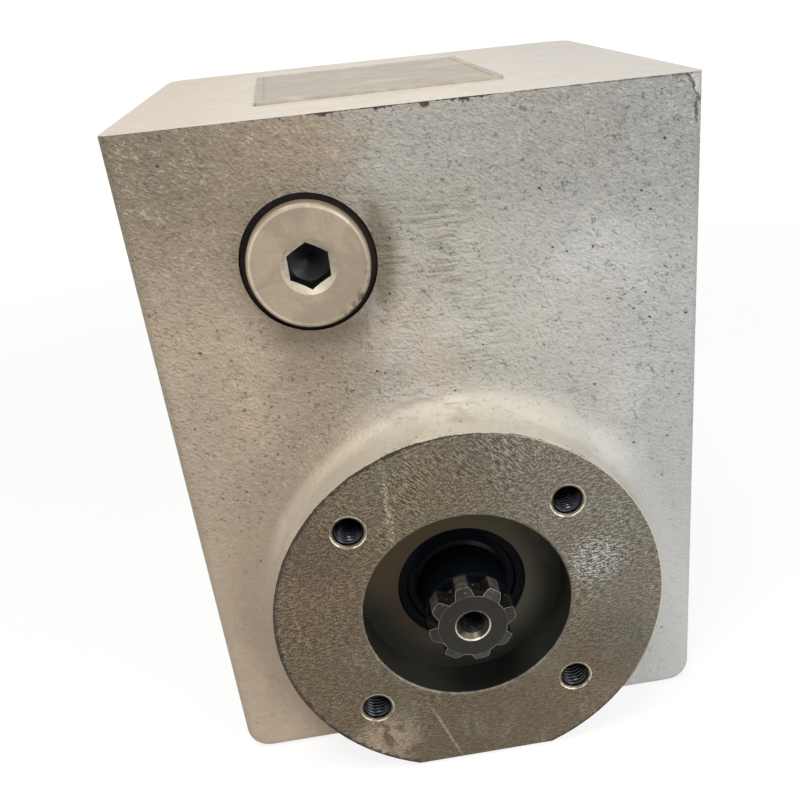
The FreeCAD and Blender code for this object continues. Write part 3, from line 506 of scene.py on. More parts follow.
def cast_paint():
    """Rough cream-grey paint over the sand casting, dirty and chipped at its edges."""
    look = colours()
    paint = Material("cast_paint")
    place = paint.place
    x, y, z = place.split()
    front = front_level()
    top = CAD_BOX[1].z / MM - TOP_EDGE_SINK
    plug = in_mm(box_middle("oil_filler_plug"))
    on_front = y.ramp(front + 2.0, front + 0.5)

    # The lumps are lower near the foot and on the blend round the flange
    lumps, cracks, pits = cast_lumps(place, 1.15)
    boss = x.reach(z, BOSS_AXIS)
    outer = boss + x.ramp(10.0, -30.0, 0.0, 2.0)
    on_blend = outer.ramp(59.0, 64.0, 1.0, 0.0) * y.ramp(front + 1, front)
    calm = z.ramp(0.0, 66.0, 0.35, 1.0) * on_blend.ramp(0.0, 1.0, 1.0, 0.6)

    # Drag lines left by the mould, right of the plug
    along = paint.vector(x * 0.12, 0.0, (z + x * 0.02) * 0.8)
    wave = along.noise(1.0, 2.0, 0.5, 0.2).ramp(0.3, 0.7)
    from_left = x.ramp(-24.0, -8.0)
    rise = z.ramp(48.0, 58.0) * z.ramp(122.0, 104.0)
    drag = from_left * x.ramp(28.0, 6.0) * rise * place.noise(0.09, 2.0, 0.5).ramp(0.4, 0.6)
    relief = sizes().paint_relief / MM
    height = lumps * calm * (relief * 3.2) + wave * drag * (relief * 1.2) + pits * -0.3

    # Warm, darker paint on the left to cool paint on the right, with the warm light of the left and the cool
    # light of the right painted in; darker towards the top, painted light low on the right, darker low on the
    # left, and a brown darkening at the upper left corner
    side = x + place.noise(0.03, 3.0, 0.6).ramp(0.3, 0.7, -14.0, 14.0)
    paint.tone = paint.mix(side.ramp(-34.0, 4.0), look.warm_paint_and_light, look.paint_mid)
    paint.coat(side.ramp(8.0, 66.0), look.cool_paint_and_light)
    paint.dim(z.ramp(80.0, 128.0) * x.ramp(0.0, 66.0, 0.85, 1.15), 0.76)
    paint.dim(z.ramp(25.0, -30.0) * x.ramp(30.0, 60.0) * 0.9, 1.22)
    paint.dim(z.ramp(5.0, 30.0) * z.ramp(85.0, 60.0) * x.ramp(-6.0, -30.0) * 0.7, 0.86)
    paint.coat(z.ramp(70.0, 120.0) * x.ramp(-20.0, -66.0) * 0.5, look.grime)

    # Darker band below the upper edge
    level = z + x * 0.088 + place.noise(0.12, 3.0, 0.6).ramp(0.3, 0.7, -1.6, 1.6)
    band = level.ramp(106.0, 110.5).larger(level.ramp(121.0, 110.0, 0.0, 0.5))
    paint.dim(band * level.ramp(104.0, 107.0) * 0.5, 0.8)

    # A painted highlight on the paint next to the flange, with painted shade round it; even paint on the
    # sides
    painted_halo = outer.ramp(61.5, 58.5) * z.ramp(-6.0, 30.0) * x.ramp(40.0, 18.0)
    paint.coat(painted_halo * 0.6, look.halo_highlight)
    painted_shade_by_flange = outer.ramp(59.0, 61.5) * boss.ramp(78.0, 64.0) * x.ramp(36.0, -20.0, 0.4, 1.0)
    paint.dim(painted_shade_by_flange * z.ramp(20.0, 40.0), 0.8)
    paint.coat(y.ramp(front + 5.0, front + 32.0, 0.0, 0.8), look.paint_mid)

    # Dirt and painted shade in the valleys and cracks, a painted highlight on the crests
    paint.dim(lumps.ramp(0.66, 0.46) * calm * 0.66, 0.56)
    paint.dim(cracks * calm * 0.7, 0.34)
    paint.coat(lumps.ramp(0.76, 0.92) * calm * 0.36, look.pale_paint_and_highlight)
    paint.coat(wave.ramp(0.5, 0.0) * drag * 0.36, look.grime)
    soiled = from_left * x.ramp(40.0, -4.0) * rise
    paint.coat(soiled * z.ramp(72.0, 92.0, 0.25, 1.0) * 0.2, look.grime)

    # Oily dirt round the plug, thickest below it and to its right
    ring = x.reach(z, (plug[0], plug[2])).ramp(17.0, 27.0, 1.0, 0.0)
    below = abs(x - plug[0]).ramp(19.0, 8.0) * z.ramp(56.0, 70.0) * z.ramp(84.0, 80.0)
    right = x.ramp(-15.0, -11.0) * x.ramp(-4.0, -9.0) * ring
    dirt = ring * 0.3 + below * 0.28 + right * 0.6
    dirt = dirt * grime_clouds(place, 9.0, 0.75) * on_front
    dirt = (dirt + grime_clouds(place, 38.0, 0.62) * 0.16).smaller(0.8)
    paint.coat(dirt, look.grime)

    # Dark dots on the front, and finer rust on the left of the flange
    dots = specks(place, 3.0, 0.4, 0.5)
    rust = specks(place, 1.8, 0.34, 0.7)
    near_boss = boss.ramp(62.0, 68.0) * boss.ramp(86.0, 70.0)
    near_boss = near_boss * x.ramp(0.0, -18.0) * z.ramp(8.0, 30.0) * on_front
    marks = dots * on_front * (z + x * -0.4).ramp(5.0, 30.0)
    marks = marks + pits * 0.9 * on_front * calm + rust * near_boss * 0.8
    paint.coat(marks.smaller(0.9), look.chip)

    # The upper edge is chipped along its middle, with one deeper scar
    edge = y.reach(z, (front, top))
    line = edge.ramp(x.ramp(50.0, 66.0, 0.42, 0.9), 0.15)
    chips, line = top_edge_wear(place, x, edge, line, (0.75, 0.12), 0.8)
    scar = x.reach(z, (3.6, top)) + place.noise(0.8, 3.0, 0.7) * 2.4
    scar = scar.ramp(2.7, 2.3) * on_front
    bare = chips.larger(scar).larger(line)

    # Paint has peeled off the upper right corner, with a painted shadow along the outline of the flake and a
    # crack below
    corner = x.reach(y, (half_width(), front))
    flakes = worn_edge(place, corner, z.ramp(108.0, 122.0) * 6.0)
    down = top - z
    ragged = place.noise(0.38, 4.0, 0.7)
    peel = corner + down * 0.6 + ragged * 4.0
    peeled = peel.ramp(6.7, 6.3)
    outline = peel.ramp(7.3, 7.0) - peeled
    crack = abs(corner + ragged * 2.4 - 3.2).ramp(0.45, 0.2)
    outline = outline.larger(crack * down.ramp(5.5, 7.0) * down.ramp(12.5, 10.5))

    # The flange's rim is broken, and a painted highlight runs along its right side
    rim = abs(y) + boss.ramp(BOSS_RADIUS, BOSS_RADIUS + 1.0, 0.0, 9.0)
    bare = bare.larger(worn_edge(place.scaled(1.4), rim, 1.2))
    # Painted highlight along the rim, mostly on the right
    paint.coat(rim.ramp(1.3, 0.5) * x.ramp(0.0, 30.0, 0.1, 0.8), look.pale_paint_and_highlight)
    paint.coat((flakes * 0.4).larger(peeled * 0.8), look.paint_mid)
    # Dark outline: painted shadow round the peeled flake, with the crack
    paint.coat(outline * 0.75, look.chip)
    paint.coat(bare, look.chip)
    height = height + bare * -0.12 + flakes * 0.1
    return paint.finish(lumps.ramp(0.4, 0.9, 0.62, 0.42) + dirt * 0.1, height)


def top_paint():
    """Smooth cream paint on the machined top face."""
    look = colours()
    paint = Material("top_paint")
    place = paint.place
    x, y = place.split()[:2]
    lumps = cast_lumps(place, 3.4)[0]
    paint.tone = paint.mix(grime_clouds(place, 46.0, 0.6) * 0.3, look.paint_top, look.paint_mid)
    paint.coat(x.ramp(0.0, 66.0), darker(look.paint_mid, 0.9))
    paint.coat(x.ramp(-30.0, -66.0, 0.0, 0.5), look.warm_paint_and_light)
    paint.coat(grime_clouds(place, 12.0, 0.42) * 0.25, look.warm_paint_and_light)
    paint.coat(lumps.ramp(0.62, 0.4) * 0.18, look.paint_mid)

    # Thin line of old glue round the turned plate
    centre, wide, deep = plate_frame()
    turned, straight = math.sin(sizes().plate_turn), math.cos(sizes().plate_turn)
    right, back = x - centre[0], y - centre[1]
    across = right * straight + back * turned
    along = back * straight - right * turned
    away = (abs(across) - wide / 2).larger(abs(along) - deep / 2)
    near_left = (across * -1.0 + along * -1.0).ramp(66.0, 73.0)
    paint.coat(worn_edge(place, away, 1.1) * (near_left * 0.4 + 0.3), look.chip)

    edge = y - front_level()
    chips, line = top_edge_wear(place, x, edge, edge.ramp(0.3, 0.1), (0.6, 0.08), 0.6)
    bare = chips.larger(line).larger(specks(place, 11.0, 0.55, 0.2) * 0.6)
    scratches = tool_marks(place.stretched(0.05, 1.4, 1.0), 1.0)[0]
    paint.coat(scratches.ramp(0.66, 0.72, 0.0, 0.16), look.grime)
    paint.coat(bare, look.chip)
    return paint.finish(lumps.ramp(0.4, 0.9, 0.5, 0.36), lumps * 0.07 + bare * -0.12)


def milled_iron():
    """The flange face: fly-cut cast iron with brown stains and paint remains."""
    look = colours()
    iron = Material("milled_iron")
    place = iron.place
    x, y, z = place.split()

    # Strokes of the cutter, level in most places and slanting above the bore
    level = iron.vector(x * 0.55, (z - x * 0.12) * 2.3, y)
    fall = iron.vector((x - z) * 0.32, (x + z) * 1.5, y)
    field = place.noise(0.05, 2.0, 0.5).ramp(0.44, 0.56)
    slanting = field * z.ramp(0.0, 34.0) * x.ramp(36.0, 18.0)
    strokes = level.noise(1.0, 2.0, 0.6) * (1.0 - slanting) + fall.noise(1.0, 2.0, 0.6) * slanting
    rough = strokes * 0.48 + place.noise(1.9, 3.0, 0.75) * 0.52
    worn = place.noise(0.05, 3.0, 0.6).ramp(0.35, 0.65, 0.6, 1.0)
    worn = worn * (z + x * -0.3).ramp(-40.0, 10.0, 0.6, 1.0)
    bright = rough.ramp(0.5, 0.565) * worn
    hollow = rough.ramp(0.505, 0.43) * worn

    # Green, grey, brown and pink areas, and darker spots
    green = place.noise(0.035, 3.0, 0.55).ramp(0.42, 0.6)
    iron.tone = iron.mix(green, look.bare_iron, look.iron_green)
    iron.coat((x + z * 0.6).ramp(10.0, 52.0) * 0.75, look.iron_grey)
    clouds = grime_clouds(place, 17.0, 0.62)
    low_left = (z + x * 0.9).ramp(40.0, -50.0)
    brown = clouds * low_left.ramp(0.0, 1.0, 0.25, 0.62)
    iron.coat(brown, look.iron_stain)
    iron.coat(x.ramp(-18.0, -40.0) * z.ramp(2.0, 16.0) * clouds * 0.3, look.iron_pink)
    for spot, size, share in (
        ((-39.0, 25.0), 17.0, 0.7),
        ((42.0, -20.0), 18.0, 0.6),
        ((4.0, 47.0), 13.0, 0.3),
    ):
        iron.dim(x.reach(z, spot).ramp(size, 5.0, 0.0, share), 0.66)

    # Remains of paint at the lower left and on the right
    patch = x.reach(z, (-28.0, -43.0)).ramp(13.0, 4.0)
    iron.coat(patch * grime_clouds(place, 5.0, 0.55) * 0.42, look.warm_paint_and_light)
    white = x.reach(z, (37.0, 10.0)).ramp(11.0, 3.0)
    iron.coat(white * rough.ramp(0.42, 0.6) * 0.34, look.cool_paint_and_light)

    # One scratch below the bore and one groove above it, on the left
    scratch = abs(x * 0.936 + z * 0.351 + 24.9).ramp(0.6, 0.1)
    scratch = scratch * z.ramp(-54.0, -50.0) * z.ramp(-30.0, -36.0)
    groove = abs(x + 18.6).ramp(1.3, 0.2) * z.ramp(22.0, 28.0) * z.ramp(50.0, 40.0)
    light = (scratch * 0.7).larger(groove * 0.5)
    iron.coat(light * 0.5, look.warm_paint_and_light)
    # Lighter flecks of the cut grain, partly a painted sparkle, and darker flecks
    iron.dim(bright * 0.85, 2.5)
    iron.dim(hollow * 0.85, 0.28)

    # Ragged dark rim on the left; on the right a thin line of paint with a painted highlight
    rim = FLANGE_RADIUS - x.reach(z, BOSS_AXIS)
    nicks = place.noise(0.6, 3.0, 0.7).ramp(0.4, 0.64, 0.45, 1.5)
    around = x * 0.8 + z * 0.35
    dark_rim = (nicks * around.ramp(30.0, -10.0, 0.25, 1.0) - rim).ramp(-0.1, 0.12)
    iron.coat(dark_rim * 0.85, look.chip)
    # Paint on the rim with a painted highlight, on the right
    iron.coat(rim.ramp(0.5, 0.25) * around.ramp(22.0, 40.0) * 0.7, look.pale_paint_and_highlight)
    metallic = brown.ramp(0.0, 0.8, 0.6, 0.3)
    return iron.finish(bright.ramp(0.0, 1.0, 0.54, 0.38), rough * 0.2 + light * -0.05, metallic)


def bored_iron(radius):
    """Oiled iron of a bore of this radius: brown to olive, black in its lower part and towards its wall with
    oil and painted shade.
    """
    look = colours()
    iron = Material("bored_iron", Metallic=0.15, Specular_IOR_Level=0.16)
    place = iron.place
    x, _, z = place.split()
    clouds = grime_clouds(place, 14.0, 0.5)
    iron.tone = iron.mix(x.ramp(-24.0, 28.0), look.bore_brown, look.bore_olive)
    iron.dim(clouds * 0.3, 0.8)
    # A painted reflection on the floor of the bore near its right wall
    iron.coat(x.reach(z, (28.0, 8.0)).ramp(12.0, 2.0) * 0.35, look.bare_iron)
    # Oil and painted shade: black low in the bore, on its left wall and over the floor towards the wall
    wall = x.reach(z, (0.0, 0.0)).ramp(radius - 12.0, radius - 2.0)
    lower = (x * 0.5 + z * -0.87).ramp(-9.0, 5.0)
    left = z.ramp(8.0, -8.0) * x.ramp(-6.0, -20.0)
    iron.coat(wall * lower.larger(left) * 0.94, look.oil_and_painted_shade)
    return iron.finish(clouds.ramp(0.0, 1.0, 0.6, 0.46), place.noise(0.9, 2.0, 0.5) * 0.03)


def hole_mouth(core):
    """Countersink of a flange hole: dull inside with a thin line of pale paint at its outer edge, brightened
    in broken arcs as a painted highlight.
    """
    look = colours()
    iron = Material("hole_mouth", Metallic=0.3)
    place = iron.place
    x, _, z = place.split()
    far = in_mm(ring_places(MOUNTS["motor_bolts"])[-1])
    chatter = place.noise(1.4, 2.0, 0.6).ramp(0.3, 0.7, -0.1, 0.1)
    away = abs(x).reach(abs(z), (far[0], far[2])) + chatter
    # The pale line at the outer edge is paint with a painted highlight, broken into arcs
    bright = away.ramp(core + 0.4, core + 0.55) * place.noise(0.22, 1.0, 0.5).ramp(0.44, 0.52, 0.2, 1.0)
    iron.tone = iron.mix(place.noise(2.0, 2.0, 0.6), look.bare_iron, look.iron_stain)
    iron.coat(bright, look.pale_paint_and_highlight)
    return iron.finish(bright.ramp(0.0, 1.0, 0.36, 0.5))


def metal(name, light, dark, rough=(0.3, 0.5), marks=0.02, axis=None, fineness=4.0, soil=0.4, metallic=1.0):
    """Steel, iron, bronze or brass; axis is (letter, centre) for a turned piece."""
    made = Material(name, Metallic=metallic)
    lines, bands = tool_marks(made.turned(axis), fineness)
    clouds = grime_clouds(made.place, 7.0, soil)
    made.tone = made.mix(bands, dark, light)
    made.coat(clouds * 0.6, made.shade(dark, 0.7))
    return made.finish((bands + clouds).ramp(0.2, 1.4, *rough), lines * marks)


def shaft_steel(name, rim=False, level=1.0):
    """Black oiled steel of the shaft's teeth with tiny specks of debris with painted glints and, at rims,
    edges with wear and a painted highlight.
    """
    look = colours()
    steel = Material(name, Metallic=0.25, Specular_IOR_Level=0.25)
    place = steel.place
    oil = grime_clouds(place, 2.2, 0.5)
    light = look.shaft_face if rim else darker(look.shaft_dark, level)
    steel.tone = steel.mix(oil, light, darker(light, 0.6))
    if rim:
        steel.coat(0.55, look.shaft_face)
    # Specks of debris with painted glints
    steel.coat(specks(place, 1.3, 0.4, 0.3) * (0.25 if rim else 0.5), look.shaft_glint_and_wear)
    grain = place.noise(1.6, 2.0, 0.6)
    # Edges with wear and a painted highlight
    if rim:
        rounded = steel.add("Bevel", "Normal", {"Radius": 0.35 * MM}, samples=8)
        flat = steel.add("NewGeometry", "True Normal")
        turned = steel.add("VectorMath", "Value", {0: rounded, 1: flat}, operation="DOT_PRODUCT")
        edge = turned.ramp(0.998, 0.96) * grain.ramp(0.36, 0.52, 0.4, 1.0)
        steel.coat(edge, look.shaft_glint_and_wear)
    return steel.finish(oil.ramp(0.0, 1.0, 0.5, 0.28), grain * 0.05)


def thread_mouth(inner, outer):
    """Countersink in the shaft's end: a painted highlight on its thin rim and a painted glint low in its dark
    cone.
    """
    look = colours()
    steel = Material("thread_mouth", Metallic=0.7)
    x, _, z = steel.place.split()
    chatter = steel.place.noise(1.2, 2.0, 0.6)
    rim = (x.reach(z, (0.0, 0.0)) + chatter * 0.2).ramp(outer - 0.3, outer - 0.12)
    lower = z.ramp(-2.0, -inner) * x.ramp(2.6, 0.6)
    steel.tone = steel.mix(chatter, look.shaft_face, steel.shade(look.shaft_face, 0.7))
    # A painted glint low in the cone and a painted highlight on the thin rim
    steel.coat(lower * 0.3, look.plug)
    steel.coat(rim * 0.85, look.plug_pale_and_highlight)
    return steel.finish(chatter.ramp(0.3, 0.7, 0.22, 0.36))


def cut_thread(core, height, at):
    """Oiled screw threads of holes round the point at: painted shade in the blue-black roots and a painted
    highlight on the ridges.
    """
    steel = Material("cut_thread", Metallic=1.0)
    x, _, z = steel.place.split()
    away = abs(x).reach(abs(z), at)
    film = grime_clouds(steel.place, 3.0, 0.5)
    # Painted highlight on the ridges, painted shade in the roots
    ridge = away.ramp(core - height * 0.35, core - height * 0.9)
    steel.tone = steel.mix(ridge, srgb(4, 5, 6), srgb(76, 78, 82))
    steel.coat(film * 0.3, srgb(30, 32, 36))
    return steel.finish(film.ramp(0.0, 1.0, 0.16, 0.3))


def rubber(name, tone, gloss=(0.28, 0.5), axis=None, shine=0.06):
    """Moulded rubber with faint rings and a film of oil."""
    made = Material(name, Specular_IOR_Level=shine)
    rings, bands = tool_marks(made.turned(axis), 2.2)
    film = grime_clouds(made.place, 6.0, 0.6)
    made.tone = made.mix(bands * 0.4, tone, made.shade(tone, 1.8))
    return made.finish(film.ramp(0.0, 1.0, gloss[1], gloss[0]), rings * 0.02)


def smooth_paint(name, tone, rim=None):
    """Brushed or sprayed paint on machined covers, worn at a rim given as (centre, radius)."""
    look = colours()
    paint = Material(name)
    place = paint.place
    lumps = cast_lumps(place, 2.4)[0]
    paint.tone = paint.mix(grime_clouds(place, 22.0, 0.6) * 0.4, tone, look.warm_paint_and_light)
    paint.coat(lumps.ramp(0.66, 0.4) * 0.3, look.grime)
    paint.coat(specks(place, 6.0, 0.6, 0.25) * 0.8, look.chip)
    height = lumps * 0.1
    if rim:
        centre, radius = rim
        _, y, z = place.split()
        worn = worn_edge(place, radius - y.reach(z, centre), 1.8)
        paint.coat(worn * 0.85, look.chip)
        height = height + worn * -0.08
    return paint.finish(lumps.ramp(0.4, 0.9, 0.55, 0.38), height)


def plug_metal():
    """Plated plug: satin beige face, smudged, with dark marks at its lower right."""
    look = colours()
    plated = Material("plug_metal")
    place = plated.place
    x, _, z = place.split()
    low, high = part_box("oil_filler_plug")
    centre = in_mm((low + high) / 2)
    strokes, bands = tool_marks(place.stretched(0.12, 1.0, 0.8), 0.9)
    plated.tone = plated.mix(bands * 0.45, look.plug, plated.shade(look.plug, 0.8))
    plated.coat(place.noise(3.0, 3.0, 0.7).ramp(0.5, 0.7) * 0.15, look.plug_pale_and_highlight)
    away = x.reach(z, (centre[0], centre[2]))
    edge = (high.x - low.x) / 2 / MM
    # A painted highlight along the crease of the rounded edge, strongest at the upper left
    painted_crease_highlight = away.ramp(edge - 1.3, edge - 0.95) * away.ramp(edge - 0.4, edge - 0.8)
    painted_crease_highlight = painted_crease_highlight * (z + x * -0.7).ramp(centre[2] - 10.0, centre[2] + 24.0)
    plated.coat(painted_crease_highlight * 0.6, look.plug_pale_and_highlight)
    corner = away.ramp(12.5, 15.5) * x.ramp(centre[0], centre[0] + 12.0)
    corner = corner * z.ramp(centre[2] + 3.0, centre[2] - 6.0)
    spread = grime_clouds(place, 11.0, 0.55)
    plated.coat(spread * 0.28, look.grime)
    plated.coat(corner * grime_clouds(place, 1.7, 0.42) * 0.9, look.chip)
    metallic = spread.ramp(0.0, 1.0, 0.35, 0.2)
    return plated.finish(strokes.ramp(0.3, 0.7, 0.36, 0.5), strokes * 0.02, metallic)


def plate_metal():
    """Matt plate, slightly stained, with no lettering."""
    look = colours()
    plate = Material("plate_metal")
    place = plate.place
    brush, bands = tool_marks(place.stretched(0.15, 3.0, 1.0), 1.0)
    clouds = grime_clouds(place, 18.0, 0.6)
    plate.tone = plate.mix(bands * 0.2, look.plate, plate.shade(look.plate, 0.84))
    plate.coat(clouds * 0.3, look.grime)
    plate.coat(grime_clouds(place.stretched(0.5, 1.6, 1.0), 5.0, 0.45) * 0.3, look.cool_paint_and_light)
    return plate.finish(brush.ramp(0.3, 0.7, 0.42, 0.58), brush * 0.015, clouds.ramp(0.0, 1.0, 0.3, 0.1))


def dress(names, made):
    """Gives whole CAD nodes one material."""
    for name in names:
        slots = NODES[name].data.materials
        slots.clear()
        slots.append(made)


def dress_faces(name, materials, choose):
    """Gives a CAD node several materials; choose maps face places and normals to numbers."""
    mesh = NODES[name].data
    mesh.materials.clear()
    for made in materials:
        mesh.materials.append(made)
    count = len(mesh.polygons)
    places = numpy.empty(count * 3)
    normals = numpy.empty(count * 3)
    mesh.polygons.foreach_get("center", places)
    mesh.polygons.foreach_get("normal", normals)
    chosen = choose(places.reshape(-1, 3) / MM, normals.reshape(-1, 3))
    mesh.polygons.foreach_set("material_index", chosen.astype(numpy.int32))
    mesh.update()


def new_piece(name, mesh, body, made):
    """Puts a mesh in the scene as a piece of the gearbox."""
    piece = bpy.data.objects.new(name, mesh)
    bpy.context.scene.collection.objects.link(piece)
    mesh.materials.append(made)
    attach(piece, body)
    return piece


def thread_ridges(mesh, at, inward, radius, start, end, pitch, height, steps=48):
    """Adds an inside screw thread to mesh as one helical sheet in the hole."""
    rows_per_turn = 8
    sharpness = 0.8
    side = inward.orthogonal().normalized()
    other = inward.cross(side)
    rows = int(round((end - start) / pitch * rows_per_turn))
    rings = []
    for row in range(rows + 1):
        along = start + (end - start) * row / rows
        fade = min(1.0, (along - start) / (0.5 * pitch))
        ring = []
        for step in range(steps):
            angle = 2 * math.pi * step / steps
            turn = (along / pitch - step / steps) % 1.0
            ridge = (0.5 - 0.5 * math.cos(2 * math.pi * turn)) ** sharpness
            out = radius - height * fade * ridge
            outward = side * math.cos(angle) + other * math.sin(angle)
            ring.append(mesh.verts.new(at + inward * along + outward * out))
        rings.append(ring)
    for low, high in zip(rings, rings[1:]):
        for step in range(steps):
            after = (step + 1) % steps
            mesh.faces.new((low[step], high[step], high[after], low[after]))


def finished_mesh(name, building, smooth_angle=40):
    """Turns a bmesh into a mesh with smooth shading below an angle."""
    building.normal_update()
    mesh = bpy.data.meshes.new(name)
    building.to_mesh(mesh)
    building.free()
    mesh.shade_smooth()
    mesh.set_sharp_from_angle(angle=math.radians(smooth_angle))
    return mesh


def ring_places(mount):
    """The hole centres of a bolt circle or rectangle, in metres."""
    at = Vector(mount["pos_m"])
    dims = mount["dims"]
    if "pcd_mm" in dims:
        far = dims["pcd_mm"] / 2 * MM * math.sqrt(0.5)
        return [at + Vector((sx * far, 0, sz * far)) for sx in (-1, 1) for sz in (-1, 1)]
    half = dims["spacing_x_mm"] / 2 * MM, dims["spacing_y_mm"] / 2 * MM
    return [at + Vector((sx * half[0], sy * half[1], 0)) for sx in (-1, 1) for sy in (-1, 1)]


def near_any(places, axes, centres, radius):
    """True where a face lies within radius of one of the centres, seen along the third axis."""
    found = numpy.zeros(len(places), bool)
    for centre in centres:
        gap = places[:, axes] - numpy.array(in_mm(centre))[axes]
        found |= numpy.hypot(gap[:, 0], gap[:, 1]) < radius
    return found


def between(values, low, high):
    return (values > low) & (values < high)


class Housing(bpy.types.Operator):
    """Paint the casting and show its machined faces"""

    bl_idname = "gearbox.housing"
    bl_label = "Housing"

    def execute(self, context):
        core = MOUNTS["motor_bolts"]["dims"]["hole_r_mm"]
        pilot = MOUNTS["motor_pilot"]["dims"]["r_mm"]
        wheel = in_mm(MOUNTS["output_bore"]["pos_m"])
        flange = ring_places(MOUNTS["motor_bolts"])
        base = ring_places(MOUNTS["base_bolts"])
        plug = box_middle("oil_filler_plug")
        low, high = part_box("housing")
        bottom, top, back = low.z / MM, high.z / MM, high.y / MM
        half = half_width()
        front = front_level()
        edge_depth, bore_depth, rear_bore_start = 0.5, 45.0, 140.0
        hole_depth, base_depth, seat_depth = 25.0, 20.0, 34.0
        room_start, cover_seat_start = 30.0, 40.0
        edge = metal(
            "bore_edge", srgb(150, 143, 128), srgb(100, 92, 78), (0.5, 0.64), 0.01, metallic=0.1
        )
        hole = metal(
            "thread_steel", srgb(40, 42, 46), srgb(14, 15, 17), (0.2, 0.4), 0.003, fineness=0.8, soil=0.35
        )
        materials = [
            cast_paint(),
            top_paint(),
            milled_iron(),
            bored_iron(pilot),
            edge,
            hole_mouth(core),
            hole,
            smooth_paint("inside_paint", srgb(120, 112, 100)),
            # Dark colour on the plug's counterbore in the housing: bare iron darkened as painted shade in the
            # narrow gap round the plug
            rubber("plug_recess", srgb(30, 25, 24), (0.35, 0.6), None, 0.1),
        ]
        on_top, milled, bored, bore_edge, mouth, threaded, inside, plug_seat = range(1, 9)

        def choose(places, normals):
            x, y, z = places.T
            radius = numpy.hypot(x, z)
            index = numpy.zeros(len(places))
            index[(z > top - NEAR) & (normals[:, 2] > FACING)] = on_top
            room = (abs(x) < half - WALL - 0.5) & between(y, room_start, back - WALL - 2)
            index[room & between(z, bottom + WALL, top - WALL)] = inside
            index[(y < NEAR) & (normals[:, 1] < -FACING)] = milled
            index[(z < bottom + NEAR) & (normals[:, 2] < -FACING)] = milled
            index[(radius < pilot + NEAR) & between(y, edge_depth, bore_depth)] = bored
            index[(radius < REAR_BORE_RADIUS + NEAR) & (y > rear_bore_start)] = bored
            bevel = between(radius, pilot - 0.1, pilot + 0.55)
            index[bevel & between(y, SKIN, edge_depth)] = bore_edge
            holes = near_any(places, [0, 2], flange, core + COUNTERSINK) & between(y, SKIN, hole_depth)
            index[holes] = mouth
            index[holes & near_any(places, [0, 2], flange, core + 0.02)] = threaded
            below = near_any(places, [0, 1], base, core + COUNTERSINK)
            index[below & between(z, bottom + SKIN, bottom + base_depth)] = threaded
            # The plug's counterbore takes the dark colour of painted shade
            seat = near_any(places, [0, 2], [plug], PLUG_SEAT_RADIUS)
            index[seat & between(y, front + NEAR, seat_depth)] = plug_seat
            side = numpy.hypot(y - wheel[1], z - wheel[2]) < COVER_SEAT_RADIUS
            index[side & between(abs(x), cover_seat_start, half - 0.95)] = bored
            return index

        dress_faces("housing", materials, choose)
        return {"FINISHED"}


class HoleThreads(bpy.types.Operator):
    """Cut the screw threads of the flange and base holes"""

    bl_idname = "gearbox.hole_threads"
    bl_label = "Hole threads"

    def execute(self, context):
        size = sizes()
        start = 0.0005
        core = MOUNTS["motor_bolts"]["dims"]["hole_r_mm"]
        far = in_mm(ring_places(MOUNTS["motor_bolts"])[-1])
        made = cut_thread(core, size.thread_height / MM, (far[0], far[2]))
        for name, mount, inward, depth in (
            ("flange_hole_threads", "motor_bolts", Vector((0, 1, 0)), 0.020),
            ("base_hole_threads", "base_bolts", Vector((0, 0, 1)), 0.014),
        ):
            building = bmesh.new()
            radius = MOUNTS[mount]["dims"]["hole_r_mm"] * MM - THREAD_GAP
            for place in ring_places(MOUNTS[mount]):
                thread_ridges(
                    building, place, inward, radius, start, depth, size.thread_pitch, size.thread_height
                )
            new_piece(name, finished_mesh(name, building), "gearbox", made)
        return {"FINISHED"}


